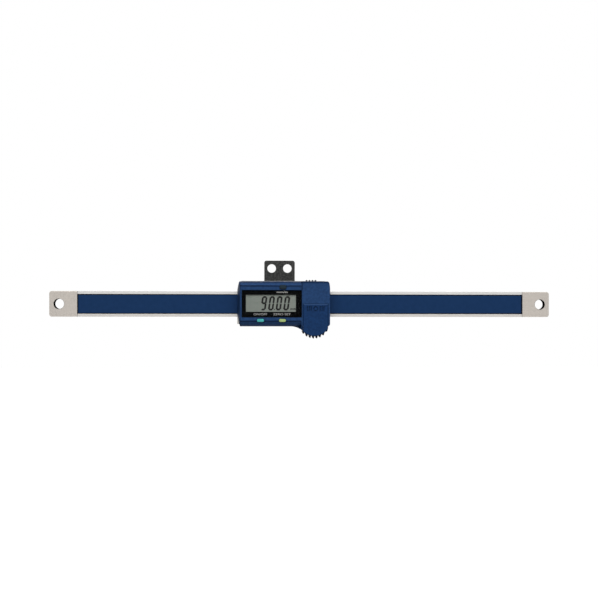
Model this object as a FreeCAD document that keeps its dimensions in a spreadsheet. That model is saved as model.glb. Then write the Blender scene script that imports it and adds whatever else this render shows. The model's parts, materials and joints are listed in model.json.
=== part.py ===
"""Digital linear scale: a steel beam with a measuring strip, and a display slider that runs along it.

X runs along the beam, Z is up and the display faces -Y. The origin is the middle of the two end
holes, on the beam's back face. "Depth" is the distance in front of that face, so depth is -Y.
Places on the slider are given along X from the slider's own middle.
"""
import FreeCAD, Part
import math
import os
import re

import Sketcher
from FreeCAD import Placement, Rotation, Vector

SIZES = {
    # beam
    "beam_length": 315.0,
    "beam_width": 16.0,
    "beam_depth": 3.7,
    "beam_corner": 1.6,
    "pad_length": 17.15,
    "land_depth": 3.2,
    "groove_width": 12.4,
    "groove_depth": 2.2,
    "end_hole": 6.4,
    "end_hole_inset": 6.0,
    "strip_thick": 0.5,
    "film_thick": 0.12,
    "edge_break": 0.25,
    # slider frame
    "slider_x": -11.85,
    "running_gap": 0.05,
    "seat_gap": 0.05,
    "overcut": 1.0,
    "clear_half": 40.0,
    "frame_left": -29.2,
    "frame_right": 28.1,
    "frame_top": 12.6,
    "plate_top": 14.65,
    "frame_bottom": -12.5,
    "frame_corner": 3.0,
    "plate_corner": 2.3,
    "plate_thick": 2.2,
    "rail_depth": 3.4,
    "gib_thick": 0.7,
    "gib_short": 0.3,
    "gib_half": 25.0,
    "gib_screw": 2.5,
    "gib_screw_x": 15.0,
    "gib_screw_depth": 1.6,
    "gib_screw_length": 3.0,
    "lobe_plate_half": 6.4,
    "lobe_plate_side": -14.8,
    "lobe_plate_radius": 7.4,
    # housing
    "house_half": 29.1,
    "house_right": 28.55,
    "house_top": 14.2,
    "house_bottom": -13.8,
    "house_face": 12.0,
    "house_skirt": 0.0,
    "wall": 1.5,
    "left_wall": 2.2,
    "side_wall": 1.7,
    "edge_wall": 1.9,
    "front_wall": 2.2,
    "left_inset_top": 1.5,
    "left_inset_bottom": 1.9,
    "left_flat_top": 7.5,
    "left_flat_bottom": -6.8,
    "face_inset": 1.6,
    "side_back": 4.0,
    "right_inset": 0.8,
    "right_flat_top": 9.0,
    "house_corner": 1.4,
    "house_low_corner": 1.9,
    "house_edge": 0.5,
    "bevel_top": 11.2,
    "bevel_bottom": -10.5,
    "bevel_back": 8.4,
    "bevel_radius": 6.5,
    "bevel_end": 10.7,
    "crease_width": 0.6,
    "crease_deep": 0.6,
    "panel_crease": 0.8,
    "panel_crease_deep": 0.8,
    "panel_crease_low": 9.0,
    "fairing_start": 4.0,
    "fairing_radius": 12.4,
    "fairing_low": -16.4,
    # display
    "window_x": -7.55,
    "window_z": 0.27,
    "window_width": 37.1,
    "window_height": 16.9,
    "window_corner": 0.6,
    "mask_thick": 0.5,
    "mask_gap": 0.02,
    "print_gap": 0.04,
    "window_sunk": 0.1,
    "view_width": 30.9,
    "view_height": 10.5,
    "view_x": -8.1,
    "view_z": 0.55,
    "ledge_thick": 0.9,
    "ledge_margin": 0.8,
    "lcd_width": 33.6,
    "lcd_height": 14.4,
    "lcd_thick": 2.0,
    "lcd_step": 1.6,
    "connector_width": 30.0,
    "connector_thick": 1.4,
    # board
    "board_thick": 1.0,
    "board_half": 26.5,
    "board_top": 11.6,
    "board_bottom": -11.4,
    "board_gap": 0.1,
    "notch_half": 1.1,
    "chip_radius": 4.5,
    "chip_high": 1.3,
    "dome_radius": 1.1,
    "dome_high": 0.4,
    # buttons
    "slot_bow": 0.38,
    "button_width": 4.3,
    "button_height": 1.9,
    "unit_button_height": 2.5,
    "button_proud": 0.6,
    "button_gap": 0.12,
    "button_travel": 0.5,
    "button_flange": 0.4,
    "button_flange_thick": 0.8,
    "flange_gap": 0.02,
    "dome_gap": 0.05,
    "button_stem": 1.6,
    "button_round": 0.3,
    "on_off_x": -14.5,
    "zero_x": -1.0,
    "unit_x": -0.7,
    "lower_button_z": -10.05,
    "upper_button_z": 10.5,
    # battery bay
    "cover_left": 11.8,
    "cover_right": 27.3,
    "cover_top": 0.1,
    "cover_thick": 1.3,
    "cover_gap": 0.15,
    "cover_top_gap": 0.1,
    "cover_lobe_x": 18.8,
    "cover_lobe_z": -9.8,
    "cover_lobe_radius": 9.95,
    "cover_edge": 0.45,
    "cover_proud": 0.3,
    "rail_lip": 0.5,
    "rail_thick": 0.5,
    "rail_web": 0.8,
    "rail_rise": 0.15,
    "rail_low": -13.2,
    "grip_z": -2.7,
    "grip_tall": 3.1,
    "grip_bar": 0.55,
    "grip_deep": 0.7,
    "grip_inner": 2.8,
    "grip_pitch": 1.15,
    "grip_ring": 1.4,
    "grip_ring_wide": 0.45,
    "cell_x": 19.25,
    "cell_z": -6.8,
    "cell_radius": 5.8,
    "cell_thick": 5.4,
    "cell_cap_radius": 4.7,
    "cell_cap_high": 0.5,
    "cell_back": 5.0,
    "spring_half": 4.5,
    "spring_foot": 1.5,
    "spring_thick": 0.2,
    "spring_wide": 3.0,
    "clip_thick": 0.25,
    "clip_gap": 0.03,
    "clip_foot": 1.3,
    "clip_wide": 4.0,
    "clip_front": 9.4,
    # thumb rest
    "rest_left": 12.2,
    "rest_right": 27.1,
    "rest_top": -12.75,
    "rest_front": 9.8,
    "rest_root_radius": 9.8,
    "rest_arc_x": 18.8,
    "rest_arc_z": -9.95,
    "rib_first": 12.12,
    "rib_pitch": 2.06,
    "rib_root": 1.6,
    "rib_tip": 0.5,
    "rib_seat": 0.4,
    "rib_arc_x": 18.85,
    "rib_arc_z": -12.25,
    "rib_arc_radius": 9.05,
    "rest_screw_half": 3.4,
    "rest_screw_z": -15.0,
    # data port
    "port_left": 14.2,
    "port_right": 19.7,
    "port_back": 4.8,
    "port_front": 8.0,
    "track_left": 13.25,
    "track_right": 27.2,
    "track_floor": 13.25,
    "track_lip": 13.7,
    "track_back": 3.9,
    "track_front": 8.9,
    "track_undercut": 0.4,
    "slide_left": 13.4,
    "slide_length": 7.0,
    "slide_gap": 0.08,
    "slide_rib_first": 14.15,
    "slide_rib_pitch": 1.85,
    "slide_rib_wide": 0.85,
    "slide_rib_high": 0.85,
    "slide_rib_inset": 0.4,
    "pin_first": 14.9,
    "pin_pitch": 1.27,
    "pin_wide": 0.5,
    "pin_foot_z": 10.7,
    "pin_tip_z": 12.7,
    "pin_depth": 6.4,
    # screws that hold the housing, the board, the thumb rest and the bracket
    "screw_left": -24.4,
    "screw_mid": 8.0,
    "screw_right": 24.2,
    "screw_upper_z": 10.3,
    "screw_lower_z": -10.0,
    "screw_shank": 1.9,
    "screw_hole": 2.0,
    "screw_head": 3.6,
    "screw_tip": 8.2,
    "rest_screw_tip": 5.0,
    "boss_half": 2.0,
    "boss_root": 0.2,
    "tip_room": 0.3,
    "board_screw_left": -10.0,
    "board_screw_low": -7.5,
    "board_screw_head": 2.6,
    "board_screw_high": 0.9,
    "board_screw_shank": 1.5,
    "board_screw_deep": 2.4,
    "recess_long": 2.0,
    "recess_wide": 0.45,
    "recess_deep": 0.6,
    "screw_slack": 0.06,
    # bracket
    "bracket_x": -2.65,
    "bracket_width": 19.4,
    "bracket_top": 27.65,
    "bracket_bottom": -9.0,
    "bracket_thick": 2.0,
    "bracket_corner": 1.4,
    "bracket_hole": 5.5,
    "bracket_hole_half": 5.0,
    "bracket_hole_z": 22.7,
    "bracket_screw_half": 6.0,
    "bracket_screw_z": -1.0,
    "bracket_screw": 2.9,
    "bracket_screw_head": 5.6,
    "bracket_socket": 1.0,
    "bracket_socket_deep": 1.1,
}
RIB_COUNT = 8
SLIDE_RIB_COUNT = 4
PIN_COUNT = 4
GRIP_BAR_COUNT = 3
CHIP_SIDES = 12
DOME_SIDES = 8
SOCKET_SIDES = 6
RIM_TAPER = -45
PLANES = {"depth": "XZ_Plane", "x": "YZ_Plane", "z": "XY_Plane"}

doc = FreeCAD.newDocument("digital_linear_scale")
sheet = doc.addObject("Spreadsheet::Sheet", "sizes")
for row, (alias, value) in enumerate(SIZES.items(), start=1):
    sheet.set(f"A{row}", alias)
    sheet.set(f"B{row}", str(value))
    sheet.setAlias(f"B{row}", alias)
doc.recompute()

nodes = []


def bound(expression):
    """Turn size names in a formula into references to the sheet."""
    def refer(word):
        return f"sizes.{word.group()}" if word.group() in SIZES else word.group()
    return re.sub(r"[a-z][a-z_]*", refer, expression)


def measure(expression):
    """Present value of a formula, in millimetres."""
    return float(sheet.evalExpression(bound(expression)))


def on_slider(across):
    return f"slider_x + {across}"


# Sketch outlines

def pin_point(sketch, edge, point, across, up):
    for kind, place in (("DistanceX", across), ("DistanceY", up)):
        index = sketch.addConstraint(Sketcher.Constraint(kind, -1, 1, edge, point, measure(place)))
        sketch.setExpression(f"Constraints[{index}]", bound(place))


def set_radius(sketch, edge, radius):
    index = sketch.addConstraint(Sketcher.Constraint("Radius", edge, measure(radius)))
    sketch.setExpression(f"Constraints[{index}]", bound(radius))


def arc_between(start, end, radius, side):
    """Arc that bulges to the left (side 1) or right (side -1) of the way from start to end."""
    chord = end - start
    half = chord.Length / 2
    bulge = radius - math.sqrt(radius * radius - half * half)
    left = Vector(-chord.y, chord.x, 0).normalize()
    return Part.Arc(start, (start + end) / 2 + left * (bulge * side), end)


def outline(*corners):
    """Closed loop through corners (across, up). A corner may add an arc to the next: its radius and side."""
    def draw(sketch):
        places = [Vector(measure(corner[0]), measure(corner[1]), 0) for corner in corners]
        ends = []
        for corner, start, end in zip(corners, places, places[1:] + places[:1]):
            if len(corner) == 2:
                edge = sketch.addGeometry(Part.LineSegment(start, end))
            else:
                edge = sketch.addGeometry(arc_between(start, end, measure(corner[2]), corner[3]))
            first = 1 if sketch.getPoint(edge, 1).isEqual(start, 1e-6) else 2
            ends.append((edge, first, 3 - first))
        for (edge, first, last), following in zip(ends, ends[1:] + ends[:1]):
            sketch.addConstraint(Sketcher.Constraint("Coincident", edge, last, following[0], following[1]))
        for (edge, first, last), corner in zip(ends, corners):
            pin_point(sketch, edge, first, corner[0], corner[1])
            if len(corner) == 4:
                set_radius(sketch, edge, corner[2])
    return draw


def rectangle(left, right, bottom, top):
    return outline((left, bottom), (right, bottom), (right, top), (left, top))


def around(across, up, width, height):
    """Rectangle about a middle."""
    return rectangle(f"{across} - ({width}) / 2", f"{across} + ({width}) / 2",
                     f"{up} - ({height}) / 2", f"{up} + ({height}) / 2")


def slot(across, up, width, height):
    """Long opening or cap with bowed ends."""
    left = f"{across} - ({width}) / 2 + slot_bow * ({height})"
    right = f"{across} + ({width}) / 2 - slot_bow * ({height})"
    bottom = f"{up} - ({height}) / 2"
    top = f"{up} + ({height}) / 2"
    radius = f"({height}) * (0.25 + slot_bow ^ 2) / (2 * slot_bow)"
    return outline((left, bottom), (right, bottom, radius, -1), (right, top), (left, top, radius, -1))


def circle(across, up, radius):
    def draw(sketch):
        centre = Vector(measure(across), measure(up), 0)
        edge = sketch.addGeometry(Part.Circle(centre, Vector(0, 0, 1), measure(radius)))
        pin_point(sketch, edge, 3, across, up)
        set_radius(sketch, edge, radius)
    return draw


# Features of a body

def new_body(label, slides=True):
    body = doc.addObject("PartDesign::Body", label)
    if slides:
        body.setExpression("Placement.Base.x", bound("slider_x"))
    nodes.append(body)
    return body


def settle(feature):
    """Work out a new feature and stop if it fails."""
    doc.recompute()
    if {"Invalid", "Error"} & set(feature.State):
        raise RuntimeError(f"{feature.Label} failed")


def new_sketch(body, direction, name, place, loops):
    sketch = body.newObject("Sketcher::SketchObject", f"{name}_sketch")
    plane = next(part for part in body.Origin.OriginFeatures if part.Role == PLANES[direction])
    sketch.AttachmentSupport = [(plane, "")]
    sketch.MapMode = "FlatFace"
    sketch.setExpression("AttachmentOffset.Base.z", bound(place))
    for draw in loops:
        draw(sketch)
    settle(sketch)
    return sketch


def pad(body, name, start, end, *loops, direction="depth", taper=0):
    """Add material from one place to another along a direction; a negative taper narrows it."""
    before = 0 if body.Tip is None else body.Shape.Volume
    feature_sketch = new_sketch(body, direction, name, start, loops)
    feature = body.newObject("PartDesign::Pad", name)
    feature.Profile = feature_sketch
    feature.setExpression("Length", bound(f"{end} - ({start})"))
    feature.TaperAngle = taper
    settle(feature)
    if body.Shape.Volume < before + 1e-4:
        raise RuntimeError(f"{body.Label}: {name} adds nothing")


def pocket(body, name, start, end, *loops, direction="depth"):
    """Take material away between two places along a direction."""
    before = body.Shape.Volume
    feature_sketch = new_sketch(body, direction, name, end, loops)
    feature = body.newObject("PartDesign::Pocket", name)
    feature.Profile = feature_sketch
    feature.setExpression("Length", bound(f"{end} - ({start})"))
    settle(feature)
    if body.Shape.Volume > before - 1e-4:
        raise RuntimeError(f"{body.Label}: {name} cuts nothing")


def sunk_holes(body, name, back, diameter, head, centres):
    """Through holes with a countersink at the back."""
    loops = [circle(across, up, f"{diameter} / 2") for across, up in centres]
    feature_sketch = new_sketch(body, "depth", name, back, loops)
    feature = body.newObject("PartDesign::Hole", name)
    feature.Profile = feature_sketch
    doc.recompute()
    feature.Threaded = False
    feature.DepthType = "ThroughAll"
    feature.setExpression("Diameter", bound(diameter))
    feature.HoleCutType = "Countersink"
    feature.HoleCutCustomValues = True
    feature.setExpression("HoleCutDiameter", bound(head))
    feature.HoleCutCountersinkAngle = 90
    feature.Reversed = True
    settle(feature)


def turned(body, name, across, up, corners):
    """Solid of revolution about a front-to-back axis; corners are (radius, depth)."""
    loops = [outline(*[(radius, f"-({depth})") for radius, depth in corners])]
    feature_sketch = new_sketch(body, "z", name, up, loops)
    feature_sketch.setExpression("AttachmentOffset.Base.x", bound(across))
    feature = body.newObject("PartDesign::Revolution", name)
    feature.Profile = feature_sketch
    feature.ReferenceAxis = (feature_sketch, ["V_Axis"])
    feature.Angle = 360
    settle(feature)


def dress(body, kind, name, size, wanted):
    """Round (Fillet) or break (Chamfer) the edges that a test picks."""
    base = body.Tip
    edges = [f"Edge{index}" for index, edge in enumerate(base.Shape.Edges, start=1) if wanted(edge)]
    feature = body.newObject(f"PartDesign::{kind}", name)
    feature.Base = (base, edges)
    feature.Refine = False
    feature.setExpression("Radius" if kind == "Fillet" else "Size", bound(size))
    settle(feature)


def corner_edge(*corners):
    """Test for front-to-back edges at the given (across, up) places."""
    places = [(measure(across), measure(up)) for across, up in corners]

    def wanted(edge):
        ends = [vertex.Point for vertex in edge.Vertexes]
        if len(ends) != 2 or abs(ends[0].y - ends[1].y) < 1e-3:
            return False
        return any(all(math.hypot(end.x - across, end.z - up) < 1e-3 for end in ends)
                   for across, up in places)
    return wanted


def at_depth(depth, inside=lambda centre: True):
    """Test for edges that lie at one depth and whose middle passes a second test."""
    level = -measure(depth)

    def wanted(edge):
        box = edge.BoundBox
        return abs(box.YMin - level) < 1e-3 and abs(box.YMax - level) < 1e-3 and inside(box.Center)
    return wanted


# Simple solids

def block(name, left, right, back, front, bottom, top):
    solid = doc.addObject("Part::Box", name)
    solid.setExpression("Length", bound(f"{right} - ({left})"))
    solid.setExpression("Width", bound(f"{front} - ({back})"))
    solid.setExpression("Height", bound(f"{top} - ({bottom})"))
    solid.setExpression("Placement.Base.x", bound(left))
    solid.setExpression("Placement.Base.y", bound(f"-({front})"))
    solid.setExpression("Placement.Base.z", bound(bottom))
    return solid


def face_front(solid, across, depth, up):
    """Stand a solid of revolution at a place, with its axis towards the front."""
    solid.Placement = Placement(Vector(0, 0, 0), Rotation(Vector(1, 0, 0), 90))
    solid.setExpression("Placement.Base.x", bound(across))
    solid.setExpression("Placement.Base.y", bound(f"-({depth})"))
    solid.setExpression("Placement.Base.z", bound(up))
    return solid


def rod(name, across, up, back, front, radius):
    solid = doc.addObject("Part::Cylinder", name)
    solid.setExpression("Radius", bound(radius))
    solid.setExpression("Height", bound(f"{front} - ({back})"))
    return face_front(solid, across, back, up)


def boolean(kind, name, base, tool):
    solid = doc.addObject(f"Part::{kind}", name)
    solid.Base = base
    solid.Tool = tool
    return solid


def group(label, solids):
    """One node made of several like solids."""
    node = doc.addObject("Part::Compound", label)
    node.Links = solids
    nodes.append(node)


def sunk_screw(name, across, up, back, front, shank, head):
    """Countersunk screw whose head is flush at the back."""
    cone = doc.addObject("Part::Cone", f"{name}_head")
    cone.setExpression("Radius1", bound(f"{head} / 2 - screw_slack"))
    cone.setExpression("Radius2", bound(f"{shank} / 2"))
    cone.setExpression("Height", bound(f"({head} - {shank}) / 2 - screw_slack"))
    face_front(cone, across, back, up)
    stem = rod(f"{name}_stem", across, up, back, front, f"{shank} / 2")
    return boolean("Fuse", f"{name}_blank", cone, stem)


def cross_cut(name, screw, across, up, back, front):
    """Cut a cross recess into a screw's head."""
    long_half = "recess_long / 2"
    wide_half = "recess_wide / 2"
    bars = []
    for label, half_x, half_z in (("flat", long_half, wide_half), ("tall", wide_half, long_half)):
        bars.append(block(f"{name}_{label}", f"{across} - {half_x}", f"{across} + {half_x}", back, front,
                          f"{up} - {half_z}", f"{up} + {half_z}"))
    return boolean("Cut", name, screw, boolean("Fuse", f"{name}_cross", *bars))


def low_prism(name, across, up, back, high, radius, sides):
    """Prism that stands on a surface and faces the front."""
    solid = doc.addObject("Part::Prism", name)
    solid.Polygon = sides
    solid.setExpression("Circumradius", bound(radius))
    solid.setExpression("Height", bound(high))
    return face_front(solid, across, back, up)


# Formulas that several pieces share

RUN_HALF = "(beam_length / 2 - pad_length)"
PLATE_BACK = "(-running_gap - plate_thick)"
BEAM_TOP = "beam_width / 2"
RAIL_LOW = f"(-{BEAM_TOP} - running_gap)"
GIB_TOP = f"({BEAM_TOP} + running_gap + gib_thick)"
BOARD_FRONT = "(rail_depth + board_thick)"
WALL_BACK = f"({BOARD_FRONT} + board_gap)"
INNER_FACE = "(house_face - front_wall)"
INNER_LEFT = "(-house_half + left_wall)"
INNER_RIGHT = "(house_right - side_wall)"
INNER_TOP = "(house_top - edge_wall)"
INNER_BOTTOM = "(house_bottom + edge_wall)"
BAY_LEFT = "(cover_left - cover_gap)"
BAY_RIGHT = "(cover_right + cover_gap)"
LEDGE_FRONT = f"({INNER_FACE} + ledge_thick)"
COVER_BACK = "(house_face - cover_thick)"
SCREWS = [("screw_left", "screw_upper_z"), ("screw_right", "screw_upper_z"), ("screw_mid", "screw_lower_z")]
BOARD_SCREWS = [("board_screw_left", "screw_upper_z"), ("board_screw_low", "screw_lower_z")]
BRACKET_SCREWS = [("bracket_x - bracket_screw_half", "bracket_screw_z"),
                  ("bracket_x + bracket_screw_half", "bracket_screw_z")]
REST_SCREWS = [("cover_lobe_x - rest_screw_half", "rest_screw_z"),
               ("cover_lobe_x + rest_screw_half", "rest_screw_z")]
BUTTONS = [("on_off_button", "on_off_x", "lower_button_z", "button_height"),
           ("zero_button", "zero_x", "lower_button_z", "button_height"),
           ("unit_button", "unit_x", "upper_button_z", "unit_button_height")]


def make_beam():
    body = new_body("beam", slides=False)
    half = "beam_length / 2"
    pad(body, "bar", "0", "beam_depth", rectangle(f"-{half}", half, f"-{BEAM_TOP}", BEAM_TOP))
    pocket(body, "lands", "land_depth", "beam_depth",
           rectangle(f"-{RUN_HALF}", RUN_HALF, "-beam_width", "beam_width"))
    pocket(body, "strip_groove", "groove_depth", "land_depth",
           rectangle(f"-{RUN_HALF}", RUN_HALF, "-groove_width / 2", "groove_width / 2"))
    holes = [circle(f"{sign}({half} - end_hole_inset)", "0", "end_hole / 2") for sign in ("-", "")]
    pocket(body, "end_holes", "0", "beam_depth", *holes)
    corners = [(f"{x_sign}{half}", f"{z_sign}{BEAM_TOP}") for x_sign in ("-", "") for z_sign in ("-", "")]
    dress(body, "Fillet", "corners", "beam_corner", corner_edge(*corners))
    reach = measure(f"{RUN_HALF} + edge_break")
    on_pads = at_depth("beam_depth", lambda centre: abs(centre.x) > reach)
    dress(body, "Chamfer", "pad_edges", "edge_break",
          lambda edge: on_pads(edge) and len(edge.Vertexes) == 2)


def make_strip():
    side = "groove_width / 2 - seat_gap"
    end = f"{RUN_HALF} - seat_gap"
    board_front = "groove_depth + strip_thick"
    nodes.append(block("scale_strip", f"-({end})", end, "groove_depth", board_front, f"-({side})", side))
    nodes.append(block("scale_film", f"-({end})", end, board_front, f"{board_front} + film_thick",
                       f"-({side})", side))


def make_frame():
    body = new_body("slider_frame")
    lobe_left = "cover_lobe_x - lobe_plate_half"
    lobe_right = "cover_lobe_x + lobe_plate_half"
    pad(body, "plate", PLATE_BACK, "-running_gap",
        outline(("frame_left", "frame_bottom"), (lobe_left, "frame_bottom"),
                (lobe_left, "lobe_plate_side", "lobe_plate_radius", -1), (lobe_right, "lobe_plate_side"),
                (lobe_right, "frame_bottom"), ("frame_right", "frame_bottom"), ("frame_right", "frame_top"),
                ("frame_right - (plate_top - frame_top)", "plate_top"),
                ("frame_left + plate_corner", "plate_top"), ("frame_left", "frame_top - frame_corner")))
    pad(body, "lower_rail", "-running_gap", "rail_depth",
        rectangle("frame_left", "frame_right", "frame_bottom", RAIL_LOW))
    pad(body, "upper_rail", "-running_gap", "rail_depth",
        outline(("frame_left", f"{BEAM_TOP} + running_gap"), ("frame_right", f"{BEAM_TOP} + running_gap"),
                ("frame_right", "frame_top"), ("frame_left + frame_corner", "frame_top"),
                ("frame_left", "frame_top - frame_corner")))
    pocket(body, "gib_recess", "-running_gap", "rail_depth",
           rectangle("-gib_half - seat_gap", "gib_half + seat_gap", BEAM_TOP, GIB_TOP))
    pocket(body, "gib_screw_holes", GIB_TOP, "frame_top",
           *[circle(f"{sign}gib_screw_x", "-gib_screw_depth", "gib_screw / 2") for sign in ("-", "")],
           direction="z")
    pocket(body, "board_screw_holes", "rail_depth - board_screw_deep - seat_gap", "rail_depth",
           *[circle(across, up, "board_screw_shank / 2 + seat_gap") for across, up in BOARD_SCREWS])
    pocket(body, "bracket_screw_holes", PLATE_BACK, "-running_gap",
           *[circle(across, up, "bracket_screw / 2 + seat_gap") for across, up in BRACKET_SCREWS])
    sunk_holes(body, "screw_holes", PLATE_BACK, "screw_hole", "screw_head", SCREWS + REST_SCREWS)
    at_back = at_depth(PLATE_BACK)
    dress(body, "Chamfer", "back_edges", "edge_break",
          lambda edge: at_back(edge) and len(edge.Vertexes) == 2)


def make_gib():
    low = f"{BEAM_TOP} + running_gap"
    nodes.append(block("gib_strip", on_slider("-gib_half"), on_slider("gib_half"), "running_gap",
                       "rail_depth - gib_short", low, GIB_TOP))
    screws = []
    for side, sign in (("left", "-"), ("right", "")):
        blank = doc.addObject("Part::Cylinder", f"gib_screw_{side}_blank")
        blank.setExpression("Radius", bound("gib_screw / 2 - seat_gap"))
        blank.setExpression("Height", bound("gib_screw_length"))
        socket = doc.addObject("Part::Prism", f"gib_screw_{side}_socket")
        socket.Polygon = SOCKET_SIDES
        socket.setExpression("Circumradius", bound("gib_screw / 4"))
        socket.setExpression("Height", bound("gib_screw_length / 2"))
        for solid, up in ((blank, GIB_TOP), (socket, f"{GIB_TOP} + gib_screw_length / 2")):
            solid.setExpression("Placement.Base.x", bound(on_slider(f"{sign}gib_screw_x")))
            solid.setExpression("Placement.Base.y", bound("-gib_screw_depth"))
            solid.setExpression("Placement.Base.z", bound(up))
        screws.append(boolean("Cut", f"gib_screw_{side}", blank, socket))
    group("gib_screws", screws)


def make_housing():
    body = new_body("front_housing")
    left = "-house_half"
    fairing_end = BAY_LEFT
    left_rise = "(house_top - left_flat_top)"
    left_bend = f"({left_rise} ^ 2 + left_inset_top ^ 2) / (2 * left_inset_top)"
    top_left = (f"{left} + left_inset_top", "house_top", left_bend, -1)
    bottom_left = (f"{left} + left_inset_bottom", "house_bottom")
    top_right = ("house_right - right_inset", "house_top")
    right_rise = "(house_top - right_flat_top)"
    right_bend = f"({right_rise} ^ 2 + right_inset ^ 2) / (2 * right_inset)"
    bottom_right = ("house_right", "house_bottom")
    pad(body, "shell", "house_skirt", "house_face",
        outline(bottom_left, ("fairing_start", "house_bottom", "fairing_radius", 1),
                (fairing_end, "fairing_low"), (fairing_end, "house_bottom"), bottom_right,
                ("house_right", "right_flat_top", right_bend, -1), top_right, top_left,
                (left, "left_flat_top"), (left, "left_flat_bottom")))
    dress(body, "Fillet", "upper_right_corner", "house_corner", corner_edge(top_right))
    dress(body, "Fillet", "lower_right_corner", "house_low_corner", corner_edge(bottom_right))

    # The left side leans back from a straight edge of the face to the bowed outline
    front = "-house_face"
    outside = f"{front} - overcut"
    beside = f"{left} - overcut"
    face_left = f"{left} + face_inset"
    pocket(body, "left_side", "-clear_half", "clear_half",
           outline((face_left, front), (left, "-side_back"), (beside, "-side_back"), (beside, outside),
                   (face_left, outside)), direction="z")

    # Bevels along the top and bottom of the display end, each behind a crease
    for name, crease, edge, beyond, side in (
        ("top", "bevel_top", "house_top", "house_top + overcut", 1),
        ("bottom", "bevel_bottom", "house_bottom", "house_bottom - overcut", -1),
    ):
        pocket(body, f"{name}_bevel", beside, "bevel_end",
               outline((front, crease, "bevel_radius", side), ("-bevel_back", edge), ("-bevel_back", beyond),
                       (outside, beyond), (outside, crease)), direction="x")
        pocket(body, f"{name}_crease", beside, "bevel_end",
               around(f"{front} + (crease_deep - overcut) / 2", crease, "crease_deep + overcut",
                      "crease_width"), direction="x")

    # Inside: channel for the frame, room for the board and display, room behind the data port
    pocket(body, "frame_channel", "house_skirt", "rail_depth",
           rectangle("-clear_half", "clear_half", "frame_bottom - seat_gap", "frame_top + seat_gap"))
    pocket(body, "board_room", "rail_depth", WALL_BACK,
           rectangle(INNER_LEFT, INNER_RIGHT, INNER_BOTTOM, INNER_TOP))
    pocket(body, "display_room", "rail_depth", INNER_FACE,
           rectangle(INNER_LEFT, f"{BAY_LEFT} - wall", INNER_BOTTOM, INNER_TOP))
    pocket(body, "port_room", "rail_depth", INNER_FACE,
           rectangle(BAY_LEFT, INNER_RIGHT, "cover_top + cover_top_gap + wall", INNER_TOP))

    # Battery bay, open to the front and below, with a groove in each side wall for the cover
    bay_top = "cover_top + cover_top_gap"
    pocket(body, "battery_bay", "house_skirt - overcut", "house_face + overcut",
           rectangle(BAY_LEFT, BAY_RIGHT, "-clear_half", bay_top))
    groove_back = f"({COVER_BACK} - rail_rise - rail_thick - cover_gap)"
    groove_front = f"({COVER_BACK} - rail_rise + cover_gap)"
    pocket(body, "cover_grooves", groove_back, groove_front,
           rectangle(f"{BAY_LEFT} - rail_lip", f"{BAY_RIGHT} + rail_lip", "-clear_half", bay_top))

    panel_left = measure("bevel_end + house_edge")
    upper = measure("house_top - house_edge")
    outer = measure(f"{BAY_RIGHT} + rail_lip")
    dress(body, "Fillet", "panel_edges", "house_edge", at_depth("house_face", lambda centre: (
        centre.x > outer or centre.x > panel_left and centre.z > upper)))
    pocket(body, "panel_crease", "house_face - panel_crease_deep", "house_face",
           rectangle("bevel_end", "bevel_end + panel_crease", "panel_crease_low", "house_top + overcut"))

    # Display window and buttons
    pocket(body, "window_seat", LEDGE_FRONT, "house_face",
           around("window_x", "window_z", "window_width", "window_height"))
    pocket(body, "view_opening", INNER_FACE, LEDGE_FRONT,
           around("view_x", "view_z", "view_width + ledge_margin", "view_height + ledge_margin"))
    pocket(body, "button_openings", INNER_FACE, "house_face + overcut",
           *[slot(across, up, "button_width + 2 * button_gap", f"{height} + 2 * button_gap")
             for label, across, up, height in BUTTONS])

    # Screw bosses, with square holes that leave room for what the thread pushes aside
    pad(body, "bosses", WALL_BACK, f"{INNER_FACE} + boss_root",
        *[around(across, up, "2 * boss_half", "2 * boss_half") for across, up in SCREWS])
    pocket(body, "boss_holes", WALL_BACK, "screw_tip + tip_room",
           *[around(across, up, "screw_hole", "screw_hole") for across, up in SCREWS])

    # Data port with a track for its cover
    pocket(body, "port", f"{INNER_TOP} - overcut", "house_top",
           rectangle("port_left", "port_right", "-port_front", "-port_back"), direction="z")
    back = "-track_back"
    front = "-track_front"
    deep_back = f"{back} + track_undercut"
    deep_front = f"{front} - track_undercut"
    above = "house_top + overcut"
    pocket(body, "port_track", "track_left", "track_right",
           outline((deep_front, "track_floor"), (deep_back, "track_floor"), (deep_back, "track_lip"),
                   (back, "track_lip"), (back, above), (front, above), (front, "track_lip"),
                   (deep_front, "track_lip")), direction="x")


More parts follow.
